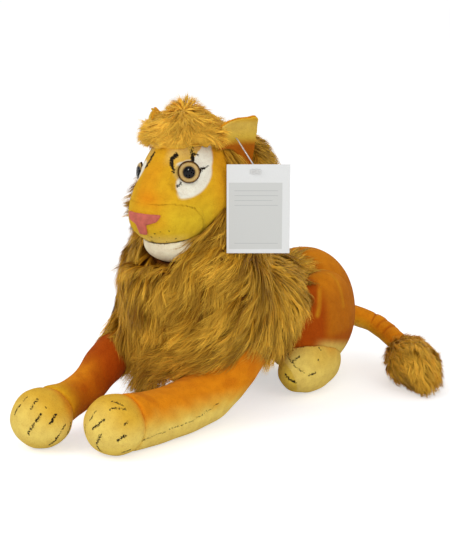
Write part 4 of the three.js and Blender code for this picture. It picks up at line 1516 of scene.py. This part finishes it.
# How the hair was combed: a place on the mane, the way that it lies there, and where it isn't
# as long or as lifted as the rest, how many times that.
COMBED = [
    ((0, -170, 128), (0, -0.9, -0.4), 0.8, 1.4), ((-8, -182, 120), (0.1, -0.8, -0.7), 0.9, 1.2),
    ((-25, -160, 138), (0.3, -0.85, -0.4), 0.75, 1.5), ((-35, -175, 108), (0, -0.1, -1)),
    ((-60, -140, 100), (-0.35, 0.1, -1), 1.1, 1.4), ((-56, -140, 68), (-0.8, -0.4, -0.8), 1.4, 1.8),
    ((-40, -170, 66), (-0.65, -0.3, -0.85), 1.3, 1.6),
    ((-30, -165, 38), (-0.4, -0.2, -1), 1.2, 1.0), ((-22, -180, 112), (-0.15, -0.3, -1)),
    ((6, -186, 98), (-0.3, -0.1, -0.9)), ((25, -178, 104), (-0.7, -0.2, -0.7)),
    ((38, -164, 115), (-0.5, -0.5, -0.75)), ((-6, -183, 65), (-0.45, -0.1, -0.9), 1.2),
    ((30, -169, 61), (-0.8, -0.5, -0.6), 1.1), ((46, -159, 77), (-0.6, -0.9, -0.5)),
    ((51, -150, 95), (-0.2, -1, -0.45)), ((51, -138, 112), (-0.2, -0.6, -0.8)),
    ((52, -128, 80), (-0.2, -0.9, -0.6), 1.1), ((46, -143, 58), (-0.4, -0.8, -0.6), 1.2),
    ((24, -151, 37), (-0.8, -0.5, -0.6), 1.3), ((0, -165, 35), (-0.5, -0.4, -0.8), 1.3),
    ((48, -112, 62), (-0.1, -0.35, -1), 1.1), ((45, -105, 36), (-0.1, 0, -1), 0.7),
    ((50, -105, 94), (0.05, 0.15, -1)), ((49, -84, 88), (0.05, 0.4, -0.95)),
    ((47, -62, 84), (0.05, 0.25, -1), 0.6, 0.8), ((44, -55, 60), (0, 0.15, -1), 0.5, 0.8),
    ((38, -45, 92), (0.1, 0.75, -0.7), 0.5, 0.8), ((40, -85, 122), (0.1, 0.6, -0.8)),
    ((20, -45, 106), (0.3, 1, -0.3)), ((0, -42, 108), (0.1, 1, -0.2), 1.15),
    ((0, -85, 150), (0, 0.5, -0.9), 0.5, 0.4), ((30, -85, 160), (0.2, 0.4, -0.9), 0.5, 0.5),
    ((47, -120, 168), (0.1, 0, -1)), ((38, -150, 160), (-0.5, -0.5, -0.8), 1.2, 1.3),
    ((42, -140, 190), (0.4, 0.25, -0.85)), ((31, -146, 200), (0.62, 0.45, -0.55), 1.2, 0.9),
    ((46, -100, 192), (0.55, 0.6, -0.5), 0.5, 0.6), ((20, -100, 216), (0.5, 0.75, -0.3), 0.4, 0.4),
    ((0, -115, 224), (0.1, 1, -0.2), 0.45, 0.4), ((-46, -100, 192), (-0.6, 0.5, -0.4)),
    ((-47, -120, 168), (-0.2, 0.1, -1)), ((-42, -150, 176), (-1, -0.55, -0.1), 0.62, 1.0),
    ((-42, -152, 150), (-1, -0.5, -0.5), 0.7, 1.1), ((-50, -85, 100), (-0.1, 0.6, -0.8)),
    ((-45, -60, 82), (-0.1, 0.8, -0.5)), ((-40, -140, 198), (-0.7, 0.1, -0.5), 0.8, 0.8),
]
FORELOCK_COMBED = [
    ((0, -156, 236), (-0.25, 0, 0.9), 0.5, 1.2), ((-5, -168, 232), (-0.9, -0.3, -0.2), 0.25, 0.0),
    ((-12, -176, 222), (-0.8, -0.3, -0.4), 0.7, 0.7),
    ((2, -180, 212), (-0.95, -0.1, -0.1), 0.55, 0.9),
    ((-22, -168, 216), (-0.5, 0.1, -0.5), 0.4, 0.5),
    ((-24, -150, 224), (-0.5, 0.4, -0.6), 0.3, 0.0),
    ((-14, -158, 232), (-0.8, 0.2, -0.3), 0.2, 0.0),
    ((14, -176, 212), (-0.9, -0.1, 0.25), 0.5, 0.7), ((23, -170, 214), (0.8, 0.5, 0.35), 0.5, 0.6),
    ((29, -158, 213), (0.74, 0.6, 0.05), 0.8, 0.8), ((30, -150, 216), (0.7, 0.6, -0.3), 0.8, 0.6),
    ((17, -157, 232), (0.75, 0.35, -0.3), 0.6, 0.3), ((6, -172, 229), (-0.3, -0.6, -0.6), 0.7, 0.8),
    ((14, -138, 230), (0.6, 0.7, -0.4), 0.45, 0.2), ((0, -130, 232), (0.3, 1, -0.3), 0.4, 0.2),
    ((18, -172, 222), (0.1, -0.5, -0.6), 0.6, 0.8),
]


# Where the forelock lies lower than its solid: before the right ear, and over the left brow.
FORELOCK_DIPS = [
    ((-6, -170, 230), 8, 5), ((-14, -160, 231), 9, 6), ((-22, -148, 228), 12, 7),
    ((26, -163, 203), 9, 6),
]


def combed(table, spread):
    def flow(points):
        way, scales, total = np.zeros_like(points), np.zeros((len(points), 2)), 1e-9
        for place, lies, *times in table:
            times = (*times, 1.0, 1.0)[:2]
            near = np.exp(-((points - np.array(place)) ** 2).sum(1) / (2 * spread * spread)) + 1e-9
            way += near[:, None] * unit(np.array([lies], float))
            scales += near[:, None] * np.array(times)
            total = total + near
        return unit(way), *(scales / total[:, None]).T

    return flow


def on_cloth(form, origin, count, wanted):
    """Roots on a skin's own cloth, where the mane over it is too thin to carry them."""

    def added(dice):
        points, faces = cast(form, origin, (1, 1, 1.05))
        thin = (off(MANE), off(FORELOCK))

        def bare(places):
            free = (thin[0](places) > -2.5) & (thin[1](places) > 1)
            return (free & wanted(*places.T)).astype(float)

        return rooted(points, faces, bare, count, dice)

    return added


def temple(side):
    """Between the hairline and the ear."""

    def wanted(x, y, z):
        line = np.interp(z, [150, 165, 192, 203, 211], [-155, -146, -143, -139.8, -134])
        return (y > line) & (z > 148) & (x * side > 6)

    return on_cloth(FACE, (0, -136, 174), 2600, wanted)


def withers(x, y, z):
    """Over the back, behind the cape's edge."""
    return (y > -62) & (y < -26 - 0.45 * np.abs(x)) & (z > 84)


class LION_OT_mane(bpy.types.Operator):
    """Lay the four panels of mane hair"""

    bl_idname = "lion.mane"
    bl_label = "Mane"

    def execute(self, context):
        keep_off = off_all(HEAD, CHIN, TRUNK, THIGH[1], THIGH[-1])
        # A panel's paleness is painted light on its hair, a little on the sides and more on the
        # back.
        for name, node, count, seed, pale, added in (
            ("mane_front", "mane_bib", 22000, 101, 0.0, None),
            ("mane_left", "mane_left_side", 16000, 102, 0.06, temple(1)),
            ("mane_right", "mane_right_side", 16000, 103, 0.06, temple(-1)),
            (
                "mane_back", "mane_cape", 14000, 104, 0.1,
                on_cloth(TRUNK, (0, -63, 62.5), 1800, withers),
            ),
        ):
            hair_piece(
                name, node, combed(COMBED, 13), in_the_open(FORELOCK), count,
                seed=seed, pale=pale, keep_off=keep_off, added=added,
            )
        return {"FINISHED"}


class LION_OT_forelock(bpy.types.Operator):
    """Lay the forelock over the brow"""

    bl_idname = "lion.forelock"
    bl_label = "Forelock"

    def execute(self, context):
        hair_piece(
            "forelock_hair", "forelock", combed(FORELOCK_COMBED, 8), in_the_open(MANE, room=5.0),
            15000, seed=105, long=19, lift=3.0, bend=0.01, sag=0.0, wave=1.2, hang=0.35, pale=0.45,
            even=0.4, keep_off=[off(HEAD)], dips=FORELOCK_DIPS,
        )
        return {"FINISHED"}


def down_the_tail(points):
    far = between(points @ np.array([0.92, -0.38, 0]), 72, 118)
    way = np.array([[0.75, -0.35, 0.0]]) + far[:, None] * np.array([[0.0, -0.1, -0.75]])
    return unit(way), 0.8 + 0.5 * far, np.ones(len(points))


class LION_OT_tuft(bpy.types.Operator):
    """Lay the tuft at the end of the tail"""

    bl_idname = "lion.tuft"
    bl_label = "Tuft"

    def execute(self, context):
        hair_piece(
            "tuft_hair", "tail_tuft", down_the_tail, lambda points: np.ones(len(points)), 12000,
            body="tail", seed=106, long=15, lift=2.5, bend=0.006, sag=0.1, wave=1.2, hang=0.8,
            pale=0.22, even=0.25,
        )
        return {"FINISHED"}


class LION_OT_hardware(bpy.types.Operator):
    """Finish the washers, the nylon pin and the bare card"""

    bl_idname = "lion.hardware"
    bl_label = "Washers, pin and card"

    def execute(self, context):
        washer = nylon("washer_nylon", srgb(226, 224, 216), 0.0)
        pin = nylon("pin_nylon", srgb(236, 236, 234), 0.35)
        card = card_paper(
            "bare_card", srgb(222, 223, 222), srgb(200, 201, 198), srgb(168, 170, 170)
        )
        finishes = {
            "left_eye_washer": washer, "right_eye_washer": washer,
            "tag_pin_bar": pin, "tag_pin_thread": pin, "hang_tag": card,
        }
        for node, material in finishes.items():
            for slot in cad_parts[node].material_slots:
                slot.material = material
        return {"FINISHED"}


def seen_rays(tree):
    """1 for what the camera sees, also mirrored or through clear plastic, 0 for other light."""
    path = tree.nodes.new("ShaderNodeLightPath")
    seen = path.outputs["Is Camera Ray"]
    for ray in ("Is Glossy Ray", "Is Transmission Ray"):
        most = tree.nodes.new("ShaderNodeMath")
        most.operation = "MAXIMUM"
        tree.links.new(seen, most.inputs[0])
        tree.links.new(path.outputs[ray], most.inputs[1])
        seen = most.outputs[0]
    return seen


# Places and sizes in metres, as Blender has them. The camera's right and back are directions.
FLOOR_HALF, FLOOR_DROP = 40.0, 0.0002
LIT_PLACE = (0.01, -0.12, 0.11)
CAMERA_PLACE = (0.612837, -0.860402, 0.325490)
CAMERA_RIGHT = (0.777146, 0.629320, 0)
CAMERA_BACK = (0.613191, -0.757228, 0.224951)


class LION_OT_stage(bpy.types.Operator):
    """Set the pale floor, the soft lamps and the camera"""

    bl_idname = "lion.stage"
    bl_label = "Stage"

    def execute(self, context):
        studio = settings().studio
        floor = bpy.data.meshes.new("floor")
        corners = ((-1, -1), (1, -1), (1, 1), (-1, 1))
        edge = [(x * FLOOR_HALF, y * FLOOR_HALF, -FLOOR_DROP) for x, y in corners]
        floor.from_pydata(edge, [], [(0, 1, 2, 3)])
        ground = bpy.data.objects.new("floor", floor)
        context.scene.collection.objects.link(ground)
        cloth = Cloth("pale_floor")
        cloth.tree.nodes.remove(cloth.shader)
        shown = seen_rays(cloth.tree)
        grain = cloth.ranged(cloth.noise(40, 2, cloth.place()), 0, 1, 0.79, 0.81)
        diffuse = cloth.add("ShaderNodeBsdfDiffuse", {"Color": grain})
        glow = cloth.add("ShaderNodeEmission", {"Strength": cloth.sum("MULTIPLY", shown, 0.52)})
        both = cloth.add("ShaderNodeAddShader")
        cloth.tree.links.new(diffuse.outputs[0], both.inputs[0])
        cloth.tree.links.new(glow.outputs[0], both.inputs[1])
        cloth.tree.links.new(both.outputs[0], cloth.out.inputs["Surface"])
        floor.materials.append(cloth.material)

        world = bpy.data.worlds.new("studio")
        world.use_nodes = True
        tree = world.node_tree
        tree.nodes.clear()
        room = tree.nodes.new("ShaderNodeBackground")
        room.inputs["Strength"].default_value = studio.room
        backdrop = tree.nodes.new("ShaderNodeBackground")
        for light in (room, backdrop):
            light.inputs["Color"].default_value = (1, 1, 1, 1)
        mix = tree.nodes.new("ShaderNodeMixShader")
        out = tree.nodes.new("ShaderNodeOutputWorld")
        mixed = (seen_rays(tree), room.outputs[0], backdrop.outputs[0])
        for socket, into in zip(mixed, mix.inputs):
            tree.links.new(socket, into)
        tree.links.new(mix.outputs[0], out.inputs[0])
        context.scene.world = world

        middle = Vector(LIT_PLACE)
        for name, place, wide, power in (
            ("key", (-0.75, -1.55, 1.45), 1.3, studio.key),
            ("fill", (1.75, -0.6, 0.9), 1.2, studio.fill),
            ("glint", (0.872, -1.126, 0.44), 0.12, studio.glint),
        ):
            lamp = bpy.data.lights.new(name, "AREA")
            lamp.energy, lamp.size = power, wide
            light = bpy.data.objects.new(name, lamp)
            light.location = place
            light.rotation_mode = "QUATERNION"
            light.rotation_quaternion = (middle - Vector(place)).to_track_quat("-Z", "Y")
            context.scene.collection.objects.link(light)

        view = bpy.data.cameras.new("photo_view")
        view.lens, view.sensor_width = studio.lens, 36
        view.clip_start, view.clip_end = 0.01, 20
        camera = bpy.data.objects.new("photo_view", view)
        right, back = Vector(CAMERA_RIGHT), Vector(CAMERA_BACK)
        turned = Matrix((right, back.cross(right), back)).transposed().to_4x4()
        camera.matrix_world = Matrix.Translation(CAMERA_PLACE) @ turned
        context.scene.collection.objects.link(camera)
        context.scene.camera = camera
        context.scene.view_settings.view_transform = "Standard"
        return {"FINISHED"}


OPERATORS = (
    LION_OT_body, LION_OT_face, LION_OT_eyes, LION_OT_nose, LION_OT_forelegs, LION_OT_hind_legs,
    LION_OT_tail, LION_OT_ears, LION_OT_mane, LION_OT_forelock, LION_OT_tuft, LION_OT_hardware,
    LION_OT_stage,
)


class LION_PT_pieces(bpy.types.Panel):
    """Colours, hair and lamps, and a button for each piece"""

    bl_idname = "LION_PT_pieces"
    bl_label = "Plush Lion"
    bl_space_type = "VIEW_3D"
    bl_region_type = "UI"
    bl_category = "Plush Lion"

    def draw(self, context):
        lion = context.scene.plush_lion
        for group in (lion.dyes, lion.hair, lion.studio):
            box = self.layout.box()
            for name in group.__annotations__:
                box.prop(group, name)
        for operator in OPERATORS:
            self.layout.operator(operator.bl_idname)


CLASSES = (PlushDyes, LongHair, Studio, PlushLion, *OPERATORS, LION_PT_pieces)


def register():
    for one in CLASSES:
        bpy.utils.register_class(one)
    bpy.types.Scene.plush_lion = bpy.props.PointerProperty(type=PlushLion)


def unregister():
    del bpy.types.Scene.plush_lion
    for one in reversed(CLASSES):
        bpy.utils.unregister_class(one)


def main():
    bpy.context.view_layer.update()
    register()
    for operator in OPERATORS:
        group, name = operator.bl_idname.split(".")
        getattr(getattr(bpy.ops, group), name)()


if __name__ == "__main__":
    main()
